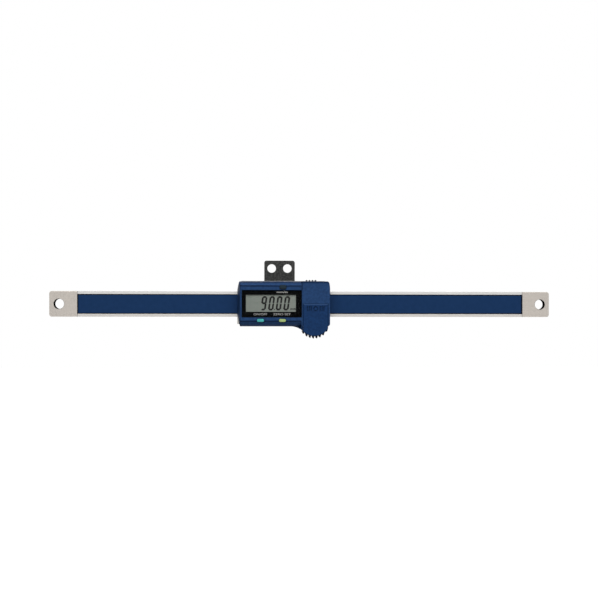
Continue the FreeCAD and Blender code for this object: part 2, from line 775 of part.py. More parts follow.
def make_display():
    mask_back = f"{LEDGE_FRONT} + mask_gap"
    mask_front = f"({mask_back} + mask_thick)"
    width = "window_width - 2 * seat_gap"
    height = "window_height - 2 * seat_gap"
    corners = [(f"window_x {x_sign} ({width}) / 2", f"window_z {z_sign} ({height}) / 2")
               for x_sign in "+-" for z_sign in "+-"]
    mask = new_body("window_mask")
    pad(mask, "mask", mask_back, mask_front, around("window_x", "window_z", width, height),
        around("view_x", "view_z", "view_width", "view_height"))
    window = new_body("display_window")
    pad(window, "window", f"{mask_front} + print_gap", "house_face - window_sunk",
        around("window_x", "window_z", width, height))
    dress(window, "Fillet", "corners", "window_corner", corner_edge(*corners))
    dress(mask, "Fillet", "corners", "window_corner", corner_edge(*corners))

    glass = new_body("lcd_glass")
    glass_front = f"({INNER_FACE} - seat_gap)"
    glass_middle = f"({INNER_FACE} - seat_gap - lcd_thick / 2)"
    pad(glass, "rear_glass", f"{glass_front} - lcd_thick", glass_middle,
        around("view_x", "view_z", "lcd_width", "lcd_height"))
    pad(glass, "front_glass", glass_middle, glass_front,
        around("view_x", "view_z", "lcd_width", "lcd_height - 2 * lcd_step"))

    strips = []
    for name, sign in (("lower", "-"), ("upper", "+")):
        middle = f"view_z {sign} (lcd_height - lcd_step) / 2"
        strips.append(block(f"{name}_connector", on_slider("view_x - connector_width / 2"),
                            on_slider("view_x + connector_width / 2"), BOARD_FRONT,
                            f"{glass_front} - lcd_thick", f"{middle} - connector_thick / 2",
                            f"{middle} + connector_thick / 2"))
    group("lcd_connectors", strips)


def make_board():
    body = new_body("main_board")
    holes = [circle(across, up, "board_screw_shank / 2 + seat_gap") for across, up in BOARD_SCREWS]
    pad(body, "board", "rail_depth", BOARD_FRONT,
        rectangle("-board_half", "board_half", "board_bottom", "board_top"), *holes)
    notches = []
    for across, up in SCREWS:
        low, high = f"{up} - notch_half", "board_top + overcut"
        if measure(up) < 0:
            low, high = "board_bottom - overcut", f"{up} + notch_half"
        notches.append(rectangle(f"{across} - notch_half", f"{across} + notch_half", low, high))
    pocket(body, "screw_notches", "rail_depth", BOARD_FRONT, *notches)
    nodes.append(low_prism("chip_cover", on_slider("view_x"), "view_z", BOARD_FRONT,
                           "chip_high", "chip_radius", CHIP_SIDES))
    domes = []
    for label, across, up, height in BUTTONS:
        domes.append(low_prism(f"{label}_dome", on_slider(across), up, BOARD_FRONT,
                               "dome_high", "dome_radius", DOME_SIDES))
    group("dome_switches", domes)
    screws = []
    for index, (across, up) in enumerate(BOARD_SCREWS):
        name = f"board_screw_{index}"
        place = on_slider(across)
        head_front = f"{BOARD_FRONT} + board_screw_high"
        head = rod(f"{name}_head", place, up, BOARD_FRONT, head_front, "board_screw_head / 2")
        stem = rod(f"{name}_stem", place, up, "rail_depth - board_screw_deep", BOARD_FRONT,
                   "board_screw_shank / 2")
        blank = boolean("Fuse", f"{name}_blank", head, stem)
        screws.append(cross_cut(name, blank, place, up, f"{head_front} - recess_deep", head_front))
    group("board_screws", screws)
    pins = []
    for index in range(PIN_COUNT):
        left = on_slider(f"pin_first + {index} * pin_pitch")
        right = f"{left} + pin_wide"
        leg = block(f"pin_leg_{index}", left, right, BOARD_FRONT, "pin_depth",
                    "pin_foot_z", "pin_foot_z + pin_wide")
        tip = block(f"pin_tip_{index}", left, right, "pin_depth - pin_wide", "pin_depth",
                    "pin_foot_z", "pin_tip_z")
        pins.append(boolean("Fuse", f"pin_{index}", leg, tip))
    group("data_contacts", pins)


def make_battery():
    cell = new_body("battery")
    cap_front = "cell_back + cell_cap_high"
    front = "cell_back + cell_thick"
    turned(cell, "cell", "cell_x", "cell_z",
           [("0", "cell_back"), ("cell_cap_radius", "cell_back"), ("cell_cap_radius", cap_front),
            ("cell_radius", cap_front), ("cell_radius", front), ("0", front)])

    spring = new_body("battery_spring")
    near = f"-{BOARD_FRONT}"
    raised = "-(cell_back - spring_thick)"
    bend = "spring_half - spring_foot"
    lifted = f"-({BOARD_FRONT} + spring_thick)"
    pad(spring, "leaf", "cell_z - spring_wide / 2", "cell_z + spring_wide / 2",
        outline(("cell_x - spring_half", near), (f"cell_x - ({bend})", near), ("cell_x", raised),
                (f"cell_x + {bend}", near), ("cell_x + spring_half", near), ("cell_x + spring_half", lifted),
                (f"cell_x + {bend}", lifted), ("cell_x", "-cell_back"), (f"cell_x - ({bend})", lifted),
                ("cell_x - spring_half", lifted)), direction="z")

    clip = new_body("battery_clip")
    inner = "cell_x + cell_radius + clip_gap"
    outer = f"{inner} + clip_thick"
    toe = f"{inner} + clip_foot"
    pad(clip, "strip", "cell_z - clip_wide / 2", "cell_z + clip_wide / 2",
        outline((inner, near), (inner, "-clip_front"), (outer, "-clip_front"),
                (outer, f"{near} - clip_thick"), (toe, f"{near} - clip_thick"), (toe, near)), direction="z")


def make_thumb_rest():
    body = new_body("thumb_rest")
    root = "rest_arc_z - sqrt(rest_root_radius ^ 2 - ({} - rest_arc_x) ^ 2)"
    pad(body, "core", "-running_gap", "rest_front",
        outline(("rest_left", "rest_top"),
                ("rest_left", root.format("rest_left"), "rest_root_radius", -1),
                ("rest_right", root.format("rest_right")), ("rest_right", "rest_top")))
    ribs = []
    for index in range(RIB_COUNT):
        middle = f"(rib_first + {index} * rib_pitch)"
        tip = f"rib_arc_z - sqrt(rib_arc_radius ^ 2 - ({middle} - rib_arc_x) ^ 2)"
        start = f"{root.format(middle)} + rib_seat"
        ribs.append(outline((f"{middle} - rib_root / 2", start), (f"{middle} - rib_tip / 2", tip),
                            (f"{middle} + rib_tip / 2", tip), (f"{middle} + rib_root / 2", start)))
    pad(body, "ribs", "-running_gap", "rest_front", *ribs)
    pocket(body, "screw_holes", "-running_gap", "rest_screw_tip + tip_room",
           *[around(across, up, "screw_hole", "screw_hole") for across, up in REST_SCREWS])
    screws = []
    for index, (across, up) in enumerate(REST_SCREWS):
        name = f"rest_screw_{index}"
        place = on_slider(across)
        blank = sunk_screw(name, place, up, PLATE_BACK, "rest_screw_tip", "screw_shank", "screw_head")
        screws.append(cross_cut(name, blank, place, up, PLATE_BACK, f"{PLATE_BACK} + recess_deep"))
    group("thumb_rest_screws", screws)


def make_housing_screws():
    screws = []
    for index, (across, up) in enumerate(SCREWS):
        name = f"housing_screw_{index}"
        place = on_slider(across)
        blank = sunk_screw(name, place, up, PLATE_BACK, "screw_tip", "screw_shank", "screw_head")
        screws.append(cross_cut(name, blank, place, up, PLATE_BACK, f"{PLATE_BACK} + recess_deep"))
    group("housing_screws", screws)


def make_bracket():
    body = new_body("mounting_bracket")
    back = f"({PLATE_BACK} - bracket_thick)"
    left = "bracket_x - bracket_width / 2"
    right = "bracket_x + bracket_width / 2"
    pad(body, "plate", back, PLATE_BACK, rectangle(left, right, "bracket_bottom", "bracket_top"))
    pocket(body, "holes", back, PLATE_BACK,
           *[circle(f"bracket_x {sign} bracket_hole_half", "bracket_hole_z", "bracket_hole / 2")
             for sign in "+-"])
    sunk_holes(body, "screw_holes", back, "bracket_screw + 2 * seat_gap", "bracket_screw_head",
               BRACKET_SCREWS)
    dress(body, "Fillet", "corners", "bracket_corner",
          corner_edge(*[(side, up) for side in (left, right) for up in ("bracket_bottom", "bracket_top")]))
    screws = []
    for index, (across, up) in enumerate(BRACKET_SCREWS):
        name = f"bracket_screw_{index}"
        blank = sunk_screw(name, on_slider(across), up, back, "-2 * running_gap", "bracket_screw",
                           "bracket_screw_head")
        socket = low_prism(f"{name}_socket", on_slider(across), up, back,
                           "bracket_socket_deep", "bracket_socket", SOCKET_SIDES)
        screws.append(boolean("Cut", name, blank, socket))
    group("bracket_screws", screws)


def make_battery_cover():
    body = new_body("battery_cover")
    drop = "sqrt(cover_lobe_radius ^ 2 - ({} - cover_lobe_x) ^ 2)"
    side_left = f"cover_lobe_z - {drop.format('cover_left')}"
    side_right = f"cover_lobe_z - {drop.format('cover_right')}"
    front = "house_face + cover_proud"
    pad(body, "tongue", COVER_BACK, front,
        outline(("cover_left", "cover_top"), ("cover_left", side_left, "cover_lobe_radius", -1),
                ("cover_right", side_right), ("cover_right", "cover_top")))
    dress(body, "Chamfer", "edges", "cover_edge", at_depth(front))
    lip_front = f"({COVER_BACK} - rail_rise)"
    pad(body, "webs", f"{lip_front} - rail_thick", COVER_BACK,
        rectangle("cover_left", "cover_left + rail_web", "rail_low", "cover_top"),
        rectangle("cover_right - rail_web", "cover_right", "rail_low", "cover_top"))
    pad(body, "lips", f"{lip_front} - rail_thick", lip_front,
        rectangle("cover_left - rail_lip", "cover_left + rail_web", "rail_low", "cover_top"),
        rectangle("cover_right - rail_web", "cover_right + rail_lip", "rail_low", "cover_top"))
    middle = "(cover_left + cover_right) / 2"
    bars = []
    for sign in "+-":
        for step in range(GRIP_BAR_COUNT):
            across = f"{middle} {sign} (grip_inner + {step} * grip_pitch)"
            bars.append(around(across, "grip_z", "grip_bar", "grip_tall"))
    pocket(body, "grip_bars", f"{front} - grip_deep", front, *bars)
    pocket(body, "grip_ring", f"{front} - grip_deep", front,
           circle(middle, "grip_z", "grip_ring"), circle(middle, "grip_z", "grip_ring - grip_ring_wide"))


def make_port_cover():
    body = new_body("data_port_cover")
    right = "slide_left + slide_length"
    flange_back = "track_back - track_undercut + slide_gap"
    flange_front = "track_front + track_undercut - slide_gap"
    pad(body, "flange", "track_floor + slide_gap", "track_lip - slide_gap",
        rectangle("slide_left", right, f"-({flange_front})", f"-({flange_back})"), direction="z")
    pad(body, "plate", "track_lip - slide_gap", "house_top - slide_gap",
        rectangle("slide_left", right, "-track_front + slide_gap", "-track_back - slide_gap"), direction="z")
    ribs = []
    for index in range(SLIDE_RIB_COUNT):
        across = f"(slide_rib_first + {index} * slide_rib_pitch)"
        ribs.append(around(across, "-(track_back + track_front) / 2", "slide_rib_wide",
                           "track_front - track_back - 2 * slide_rib_inset"))
    pad(body, "ribs", "house_top - 2 * slide_gap", "house_top + slide_rib_high", *ribs, direction="z")


def make_button(label, across, up, height):
    body = new_body(label)
    flange_front = f"({INNER_FACE} - flange_gap)"
    flange_back = f"{flange_front} - button_flange_thick"
    proud = "house_face + button_proud"
    shoulder = f"({proud} - button_round)"
    cap = slot(across, up, "button_width", height)
    pad(body, "cap", flange_front, shoulder, cap)
    pad(body, "crown", shoulder, proud, cap, taper=RIM_TAPER)
    pad(body, "flange", flange_back, flange_front,
        around(across, up, "button_width + 2 * button_flange", f"{height} + 2 * button_flange"))
    pad(body, "stem", f"{BOARD_FRONT} + dome_high + button_travel + dome_gap", flange_back,
        around(across, up, "button_stem", "button_stem"))


def main():
    make_beam()
    make_strip()
    make_frame()
    make_gib()
    make_housing()
    make_display()
    make_board()
    make_battery()
    make_thumb_rest()
    make_housing_screws()
    make_bracket()
    make_battery_cover()
    make_port_cover()
    for label, across, up, height in BUTTONS:
        make_button(label, across, up, height)
    doc.recompute()

    for item in doc.Objects:
        if {"Invalid", "Error"} & set(item.State):
            raise RuntimeError(f"{item.Label} failed")
    for node in nodes:
        if node.Shape.isNull() or not node.Shape.isValid():
            raise RuntimeError(f"{node.Label} has no sound shape")
    os.makedirs("parts", exist_ok=True)
    for node in nodes:
        node.Shape.exportStep(f"parts/{node.Label}.step")


main()
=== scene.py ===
# %% [markdown]
# # Digital linear scale
# A flat steel beam carries a measuring strip under a blue film, and a display slider runs along it.
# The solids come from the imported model, each at its real size and place, so this script gives every
# surface its finish and adds what is printed or shown on the display.
# X runs along the beam, Z is up and the display faces -Y. All lengths are in metres.

# %% Load the frame
import json
import math

import bpy
from mathutils import Euler, Matrix, Vector


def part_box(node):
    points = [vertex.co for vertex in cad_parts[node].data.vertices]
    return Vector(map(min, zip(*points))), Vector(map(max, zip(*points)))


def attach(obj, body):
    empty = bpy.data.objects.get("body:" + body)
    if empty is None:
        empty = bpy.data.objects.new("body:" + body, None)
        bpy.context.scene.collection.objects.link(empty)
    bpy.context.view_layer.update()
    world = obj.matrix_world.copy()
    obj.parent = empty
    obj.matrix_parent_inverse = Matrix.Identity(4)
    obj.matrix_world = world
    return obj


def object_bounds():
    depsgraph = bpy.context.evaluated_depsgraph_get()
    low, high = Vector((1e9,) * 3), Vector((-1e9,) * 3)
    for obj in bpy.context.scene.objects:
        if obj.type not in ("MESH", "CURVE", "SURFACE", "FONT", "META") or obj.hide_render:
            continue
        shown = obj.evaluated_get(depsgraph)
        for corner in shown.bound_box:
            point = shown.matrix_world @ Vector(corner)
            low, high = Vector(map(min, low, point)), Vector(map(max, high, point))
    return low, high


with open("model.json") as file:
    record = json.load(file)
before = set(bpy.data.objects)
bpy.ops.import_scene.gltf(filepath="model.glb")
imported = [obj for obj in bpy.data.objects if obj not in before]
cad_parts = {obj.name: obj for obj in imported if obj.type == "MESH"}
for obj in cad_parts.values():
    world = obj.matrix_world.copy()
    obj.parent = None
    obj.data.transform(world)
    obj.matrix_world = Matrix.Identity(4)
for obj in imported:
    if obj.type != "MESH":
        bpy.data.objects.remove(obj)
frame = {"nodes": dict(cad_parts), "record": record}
nodes = frame["nodes"]
cad_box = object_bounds()
scene = bpy.context.scene
scene.view_settings.view_transform = "Standard"
MM = 0.001
print("CAD box in mm:", [[round(value / MM, 2) for value in corner] for corner in cad_box])

# %% [markdown]
# ## Camera
# The picture is a straight front view from about 450 mm away, so the beam's end holes show a little of
# their walls. The left end is slightly larger than the right one, which means that the camera stands to
# the left of the middle and turns towards it. A shifted lens would keep both ends alike, so the camera
# is turned instead.

# %% Camera
PICTURE_SIDE = 598
FOCAL_PIXELS = 715.5
SENSOR = 36.0
CAMERA_FOOT = -20.8 * MM
CAMERA_HEIGHT = 3.25 * MM
CAMERA_DISTANCE = 450 * MM
CAMERA_YAW = math.radians(-2.355)
CAMERA_ROLL = math.radians(-0.1)


def put(name, data):
    """Object of a camera, a lamp, a mesh or a text, linked into the scene."""
    made = bpy.data.objects.new(name, data)
    scene.collection.objects.link(made)
    return made


def place_camera():
    lens = bpy.data.cameras.new("front_camera")
    lens.sensor_width = SENSOR
    lens.lens = SENSOR * FOCAL_PIXELS / PICTURE_SIDE
    camera = put("front_camera", lens)
    pad_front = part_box("beam")[0].y
    camera.location = (CAMERA_FOOT, pad_front - CAMERA_DISTANCE, CAMERA_HEIGHT)
    camera.rotation_euler = Euler((math.pi / 2, CAMERA_ROLL, CAMERA_YAW))
    scene.camera = camera
    return camera


print("lens in mm:", round(place_camera().data.lens, 2))

# %% [markdown]
# ## Node helpers
# A shader tree is a list of nodes and of links between them. One helper makes a node and fills its
# sockets: a socket given as a value becomes a link, and anything else is set on the socket itself. The
# helpers after it stand for what comes back most often: sums, mixed colours, smooth changes and the way
# that a face looks. Colours are written as a screen shows them and turned into the linear values that
# shaders use.

# %% Node helpers
def empty_tree(owner):
    """Empty shader tree of a material or of the world."""
    owner.use_nodes = True
    owner.node_tree.nodes.clear()
    return owner.node_tree


def add(tree, kind, inputs=None, **settings):
    """Make a node. Its settings come first, because they decide which sockets are in use."""
    made = tree.nodes.new(kind)
    for name, value in settings.items():
        setattr(made, name, value)
    for name, value in (inputs or {}).items():
        if isinstance(value, bpy.types.NodeSocket):
            tree.links.new(value, made.inputs[name])
        else:
            made.inputs[name].default_value = value
    return made


def calculate(tree, operation, *values, clamp=False):
    inputs = dict(enumerate(values))
    return add(tree, "ShaderNodeMath", inputs, operation=operation, use_clamp=clamp).outputs[0]


def split(tree, vector):
    """The X, Y and Z of a vector."""
    return add(tree, "ShaderNodeSeparateXYZ", {"Vector": vector}).outputs


def length_of(tree, vector):
    return add(tree, "ShaderNodeVectorMath", {0: vector}, operation="LENGTH").outputs["Value"]


def mix_colour(tree, share, first, second, way="MIX"):
    """Mix of two colours. A Mix node takes colours in its sockets 6 and 7 and gives them out by 2."""
    inputs = {0: share, 6: first, 7: second}
    return add(tree, "ShaderNodeMix", inputs, data_type="RGBA", blend_type=way).outputs[2]


def fade(tree, value, start, end, low, high):
    """Smooth change from low to high while a value goes from start to end."""
    return add(tree, "ShaderNodeMapRange", {
        "Value": value, "From Min": start, "From Max": end, "To Min": low, "To Max": high,
    }, interpolation_type="SMOOTHSTEP").outputs["Result"]


def facing(tree, axis):
    """How far a face looks along one axis: 1 for straight along it, -1 for straight against it."""
    return split(tree, add(tree, "ShaderNodeNewGeometry").outputs["True Normal"])[axis]


def shade(colour, factor):
    """A colour made darker or paler by one factor."""
    return tuple(min(1.0, part * factor) for part in colour[:3]) + (1.0,)


def linear(red, green, blue):
    """Colour from 8-bit screen values to the linear values that shaders use."""
    parts = [value / 255 for value in (red, green, blue)]
    return tuple(p / 12.92 if p <= 0.04045 else ((p + 0.055) / 1.055) ** 2.4 for p in parts) + (1.0,)


print("a screen grey of 128 in linear light:", round(linear(128, 128, 128)[0], 3))

# %% [markdown]
# ## Stage
# The scale is photographed on plain white. A floor lies below the part, and it is lifted to white for what
# the camera and mirrors see, so that it still takes a shadow and adds hardly any light to the part. Near
# its border the lift is stronger, because the floor has to meet the white world without a line. It is no
# larger than the view needs, so that the front of the part doesn't mirror it. From below it is clear, so a
# view from there still shows the part.

# %% Floor
FLOOR_DROP = 60 * MM
FLOOR_HALF = 0.42
FLOOR_COLOUR = (0.3, 0.3, 0.3, 1.0)
WHITE = (1.0, 1.0, 1.0, 1.0)
NEAR_LIFT = 0.85
FAR_LIFT = 1.0
LIFT_FROM = 0.1
LIFT_TO = 0.4


def seen_directly(tree):
    """Two masks: one of the camera's own rays, and one of those from mirrors and through glass."""
    path = add(tree, "ShaderNodeLightPath").outputs
    mirrored = calculate(tree, "MAXIMUM", path["Is Glossy Ray"], path["Is Transmission Ray"])
    return path["Is Camera Ray"], mirrored


def make_floor():
    height = cad_box[0].z - FLOOR_DROP
    corners = [(x * FLOOR_HALF, y * FLOOR_HALF, height) for x, y in ((-1, -1), (1, -1), (1, 1), (-1, 1))]
    mesh = bpy.data.meshes.new("floor")
    mesh.from_pydata(corners, [], [(0, 1, 2, 3)])
    floor = put("floor", mesh)
    material = bpy.data.materials.new("pale_floor")
    tree = empty_tree(material)
    away = length_of(tree, add(tree, "ShaderNodeTexCoord").outputs["Object"])
    lift = fade(tree, away, LIFT_FROM, LIFT_TO, NEAR_LIFT, FAR_LIFT)
    lift = calculate(tree, "MULTIPLY", calculate(tree, "MAXIMUM", *seen_directly(tree)), lift)
    glow = add(tree, "ShaderNodeEmission", {"Strength": lift})
    pale = add(tree, "ShaderNodeBsdfDiffuse", {"Color": FLOOR_COLOUR})
    above = add(tree, "ShaderNodeAddShader", {0: pale.outputs[0], 1: glow.outputs[0]})
    behind = add(tree, "ShaderNodeNewGeometry").outputs["Backfacing"]
    clear = add(tree, "ShaderNodeBsdfTransparent")
    sides = add(tree, "ShaderNodeMixShader", {0: behind, 1: above.outputs[0], 2: clear.outputs[0]})
    add(tree, "ShaderNodeOutputMaterial", {"Surface": sides.outputs[0]})
    mesh.materials.append(material)
    return floor


print("floor height in mm:", round(make_floor().data.vertices[0].co.z / MM, 1))

# %% [markdown]
# ## Light
# The picture has soft light from the front and from above: the upper bevel of the housing is brighter
# than its face, and the lower bevel and the sides are darker. One strong lamp would throw hard shadows,
# so the world gives the even part, and two soft lamps give the rest. As light the world is strongest in
# front and above. In mirrors and glass it is white with a dim patch in front, because the bare steel is
# grey and not white, so the room behind the camera must be dim.

# %% Light
AMBIENT_ABOVE = 1.0
AMBIENT_BELOW = 0.22
AMBIENT_BEHIND = 0.1
HORIZON_BAND = 0.5
FRONT_FROM = -0.1
FRONT_TO = -0.9
DIM_ROOM = 0.45
DIM_FROM = -0.35
DIM_TO = -0.85
LAMPS = {
    # name: (place, width, height, watts)
    "upper_softbox": ((0.0, -0.66, 0.74), 1.0, 0.5, 8.8),
    "rear_softbox": ((0.15, 0.75, 0.65), 1.0, 0.5, 4.0),
}


def make_world():
    world = bpy.data.worlds.new("white_studio")
    scene.world = world
    tree = empty_tree(world)
    axes = split(tree, add(tree, "ShaderNodeTexCoord").outputs["Generated"])
    room = fade(tree, axes["Y"], DIM_TO, DIM_FROM, DIM_ROOM, 1.0)
    height = fade(tree, axes["Z"], -HORIZON_BAND, HORIZON_BAND, AMBIENT_BELOW, AMBIENT_ABOVE)
    front = fade(tree, axes["Y"], FRONT_TO, FRONT_FROM, 1.0, AMBIENT_BEHIND)
    ambient = calculate(tree, "MULTIPLY", height, front)
    camera, mirrored = seen_directly(tree)
    lighting = add(tree, "ShaderNodeMix", {"Factor": mirrored, "A": ambient, "B": room}).outputs[0]
    strength = add(tree, "ShaderNodeMix", {"Factor": camera, "A": lighting, "B": 1.0}).outputs[0]
    glow = add(tree, "ShaderNodeBackground", {"Color": WHITE, "Strength": strength})
    add(tree, "ShaderNodeOutputWorld", {"Surface": glow.outputs[0]})


def make_lamps():
    for name, (place, width, height, watts) in LAMPS.items():
        lamp = bpy.data.lights.new(name, "AREA")
        lamp.shape = "RECTANGLE"
        lamp.size = width
        lamp.size_y = height
        lamp.energy = watts
        holder = put(name, lamp)
        holder.location = place
        holder.rotation_euler = (-Vector(place)).to_track_quat("-Z", "Y").to_euler()


make_world()
make_lamps()
print("lamps:", ", ".join(LAMPS))

# %% [markdown]
# ## Shared effects
# Five effects come back on several finishes: the fine grain of a moulding tool, the lines that a grinding
# belt leaves on steel, a mask of the edges for the rub that hands and cloths leave and for painted shade
# along some rims, a painted shade in grooves, and the faint marks of handling. Each could be drawn again
# in every finish, but as one shader node group with its own inputs it is made once, and a finish only
# chooses how fine and how strong. The first three groups are noise of several sizes, read at the place of
# each point.

# %% Grain, lines and marks of handling
GRAIN_DETAIL = 2.0
MOTTLE_SCALE = 0.15
BELT_STRETCH = (0.03, 1.0, 1.0)
LINE_DETAIL = 5.0
CLOUD_SCALE = 0.5
SMUDGE_SCALE = 90.0
SMUDGE_DETAIL = 4.0
SPECK_SCALE = 2600.0
SPECK_DETAIL = 1.0
SPECK_FROM = 0.68
SPECK_GAIN = 6.0


def new_group(name, inputs, outputs):
    """Empty shader group. Positions and normals are vectors, and every other socket is a number."""
    tree = bpy.data.node_groups.new(name, "ShaderNodeTree")
    for names, way in ((inputs, "INPUT"), (outputs, "OUTPUT")):
        for socket in names:
            kind = "NodeSocketVector" if socket in ("Position", "Normal") else "NodeSocketFloat"
            tree.interface.new_socket(socket, in_out=way, socket_type=kind)
    return tree, add(tree, "NodeGroupInput").outputs, add(tree, "NodeGroupOutput").inputs


def noise(tree, position, scale, detail=3.0):
    inputs = {"Vector": position, "Scale": scale, "Detail": detail}
    return add(tree, "ShaderNodeTexNoise", inputs).outputs[0]


def make_moulded_grain():
    """Fine even grain of a moulding tool, and a coarser mottle of the plastic's colour."""
    tree, given, result = new_group("moulded_grain", ("Position", "Fineness"), ("Height", "Mottle"))
    tree.links.new(noise(tree, given["Position"], given["Fineness"], GRAIN_DETAIL), result["Height"])
    slow = calculate(tree, "MULTIPLY", given["Fineness"], MOTTLE_SCALE)
    tree.links.new(noise(tree, given["Position"], slow), result["Mottle"])
    return tree


def make_ground_lines():
    """Lines along X, as a grinding belt leaves them, and an even cloud over them."""
    tree, given, result = new_group("ground_lines", ("Position", "Fineness"), ("Lines", "Cloud"))
    along = add(tree, "ShaderNodeVectorMath", {0: given["Position"], 1: BELT_STRETCH},
                operation="MULTIPLY").outputs[0]
    tree.links.new(noise(tree, along, given["Fineness"], LINE_DETAIL), result["Lines"])
    slow = calculate(tree, "MULTIPLY", given["Fineness"], CLOUD_SCALE)
    tree.links.new(noise(tree, given["Position"], slow), result["Cloud"])
    return tree


def make_handling():
    """Faint smudges and small specks from handling."""
    tree, given, result = new_group("handling", ("Position",), ("Smudge", "Speck"))
    tree.links.new(noise(tree, given["Position"], SMUDGE_SCALE, SMUDGE_DETAIL), result["Smudge"])
    few = calculate(tree, "SUBTRACT", noise(tree, given["Position"], SPECK_SCALE, SPECK_DETAIL), SPECK_FROM)
    tree.links.new(calculate(tree, "MULTIPLY", few, SPECK_GAIN, clamp=True), result["Speck"])
    return tree


GRAIN = make_moulded_grain()
LINES = make_ground_lines()
HANDLING = make_handling()
print("surface effects:", ", ".join(group.name for group in (GRAIN, LINES, HANDLING)))

# %% [markdown]
# The edge mask and the painted shade of grooves follow the shape, so noise can't place them. Painted masks
# would have to be painted again after each change of a solid. The edge mask compares the plain normal with
# one that is rounded over a small radius, and the painted shade of grooves asks how much of the open air a
# point sees close by.

# %% Edge rub and painted shade of grooves
RUB_SAMPLES = 6
RECESS_SHADE_SAMPLES = 8


def make_edge_rub_and_shade():
    """Mask of the edges, for the rub that hands and cloths leave and for painted shade along some rims, and
    the normal rounded over them.
    """
    tree, given, result = new_group("edge_rub_and_shade", ("Radius", "Gain"), ("Edge", "Normal"))
    rounded = add(tree, "ShaderNodeBevel", {"Radius": given["Radius"]}, samples=RUB_SAMPLES).outputs[0]
    plain = add(tree, "ShaderNodeNewGeometry").outputs["Normal"]
    along = add(tree, "ShaderNodeVectorMath", {0: rounded, 1: plain}, operation="DOT_PRODUCT")
    away = calculate(tree, "SUBTRACT", 1.0, along.outputs["Value"])
    tree.links.new(calculate(tree, "MULTIPLY", away, given["Gain"], clamp=True), result["Edge"])
    tree.links.new(rounded, result["Normal"])
    return tree


def make_recess_shade():
    """Painted shade: mask of grooves and inner corners, where shade falls."""
    tree, given, result = new_group("recess_shade", ("Reach", "Gain"), ("Recess Shade",))
    air = add(tree, "ShaderNodeAmbientOcclusion", {"Distance": given["Reach"]}, samples=RECESS_SHADE_SAMPLES)
    closed = calculate(tree, "SUBTRACT", 1.0, air.outputs["AO"])
    tree.links.new(calculate(tree, "MULTIPLY", closed, given["Gain"], clamp=True), result["Recess Shade"])
    return tree


EDGE_RUB_AND_SHADE = make_edge_rub_and_shade()
RECESS_SHADE = make_recess_shade()
print("edge effects:", ", ".join(group.name for group in (EDGE_RUB_AND_SHADE, RECESS_SHADE)))

# %% [markdown]
# ## Putting a finish on a piece
# A finish is one material. Its shader takes what is the same all over on its own sockets, and what
# changes over the surface comes from the shared effects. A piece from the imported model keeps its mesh,
# and the material goes into its slots.

# %% Finish helpers
def effect(tree, group, **inputs):
    """Place a shared effect in a finish and return what it puts out."""
    return add(tree, "ShaderNodeGroup", inputs, node_tree=group).outputs


def new_finish(name, **sockets):
    """Material with one Principled shader, whose plain values are set on its own sockets."""
    material = bpy.data.materials.new(name)
    tree = empty_tree(material)
    shader = add(tree, "ShaderNodeBsdfPrincipled")
    for socket, value in sockets.items():
        shader.inputs[socket.replace("_", " ")].default_value = value
    add(tree, "ShaderNodeOutputMaterial", {"Surface": shader.outputs[0]})
    place = add(tree, "ShaderNodeTexCoord").outputs["Object"]
    return material, tree, shader, place


def feed(tree, shader, **sources):
    for socket, source in sources.items():
        tree.links.new(source, shader.inputs[socket.replace("_", " ")])


def present_colour(shader):
    """What feeds a shader's colour so far."""
    return shader.inputs["Base Color"].links[0].from_socket


def between(tree, value, low, high):
    """Spread a 0 to 1 value over low to high."""
    return add(tree, "ShaderNodeMapRange", {"Value": value, "To Min": low, "To Max": high}).outputs["Result"]


def bump(tree, height, strength, distance, normal=None):
    inputs = {"Height": height, "Strength": strength, "Distance": distance}
    if normal is not None:
        inputs["Normal"] = normal
    return add(tree, "ShaderNodeBump", inputs).outputs[0]


def dress(material, *names):
    for name in names:
        slots = nodes[name].data.materials
        slots.clear()
        slots.append(material)


print("pieces to dress:", len(nodes))

# %% [markdown]
# ## Moulded plastic and rubber
# The housing and its covers are moulded plastic with a fine spark-eroded grain. The colour changes a
# little over the surface, and grooves get a painted shade. The rims of the blue pieces and of the buttons
# get a darker colour, which is painted shade. The rims of the black pieces, the connectors and the resin
# are rubbed paler. Handling leaves smudges in the gloss. Grain this fine would need millions of faces, so
# it is bump. The pieces differ only in colour and in how much of each effect they have, so one function
# serves them all, and a table gives its values.

# %% Moulded pieces
MOTTLE = 0.5
# Reach and colour factor of the painted shade in grooves.
RECESS_SHADE_REACH = 0.9 * MM
RECESS_SHADE_FACTOR = 0.3
EDGE_ROUND = 0.18 * MM
RIM_GAIN = 3.0
GLOSS_SPREAD = 0.08
GRAIN_DEPTH = 0.04 * MM
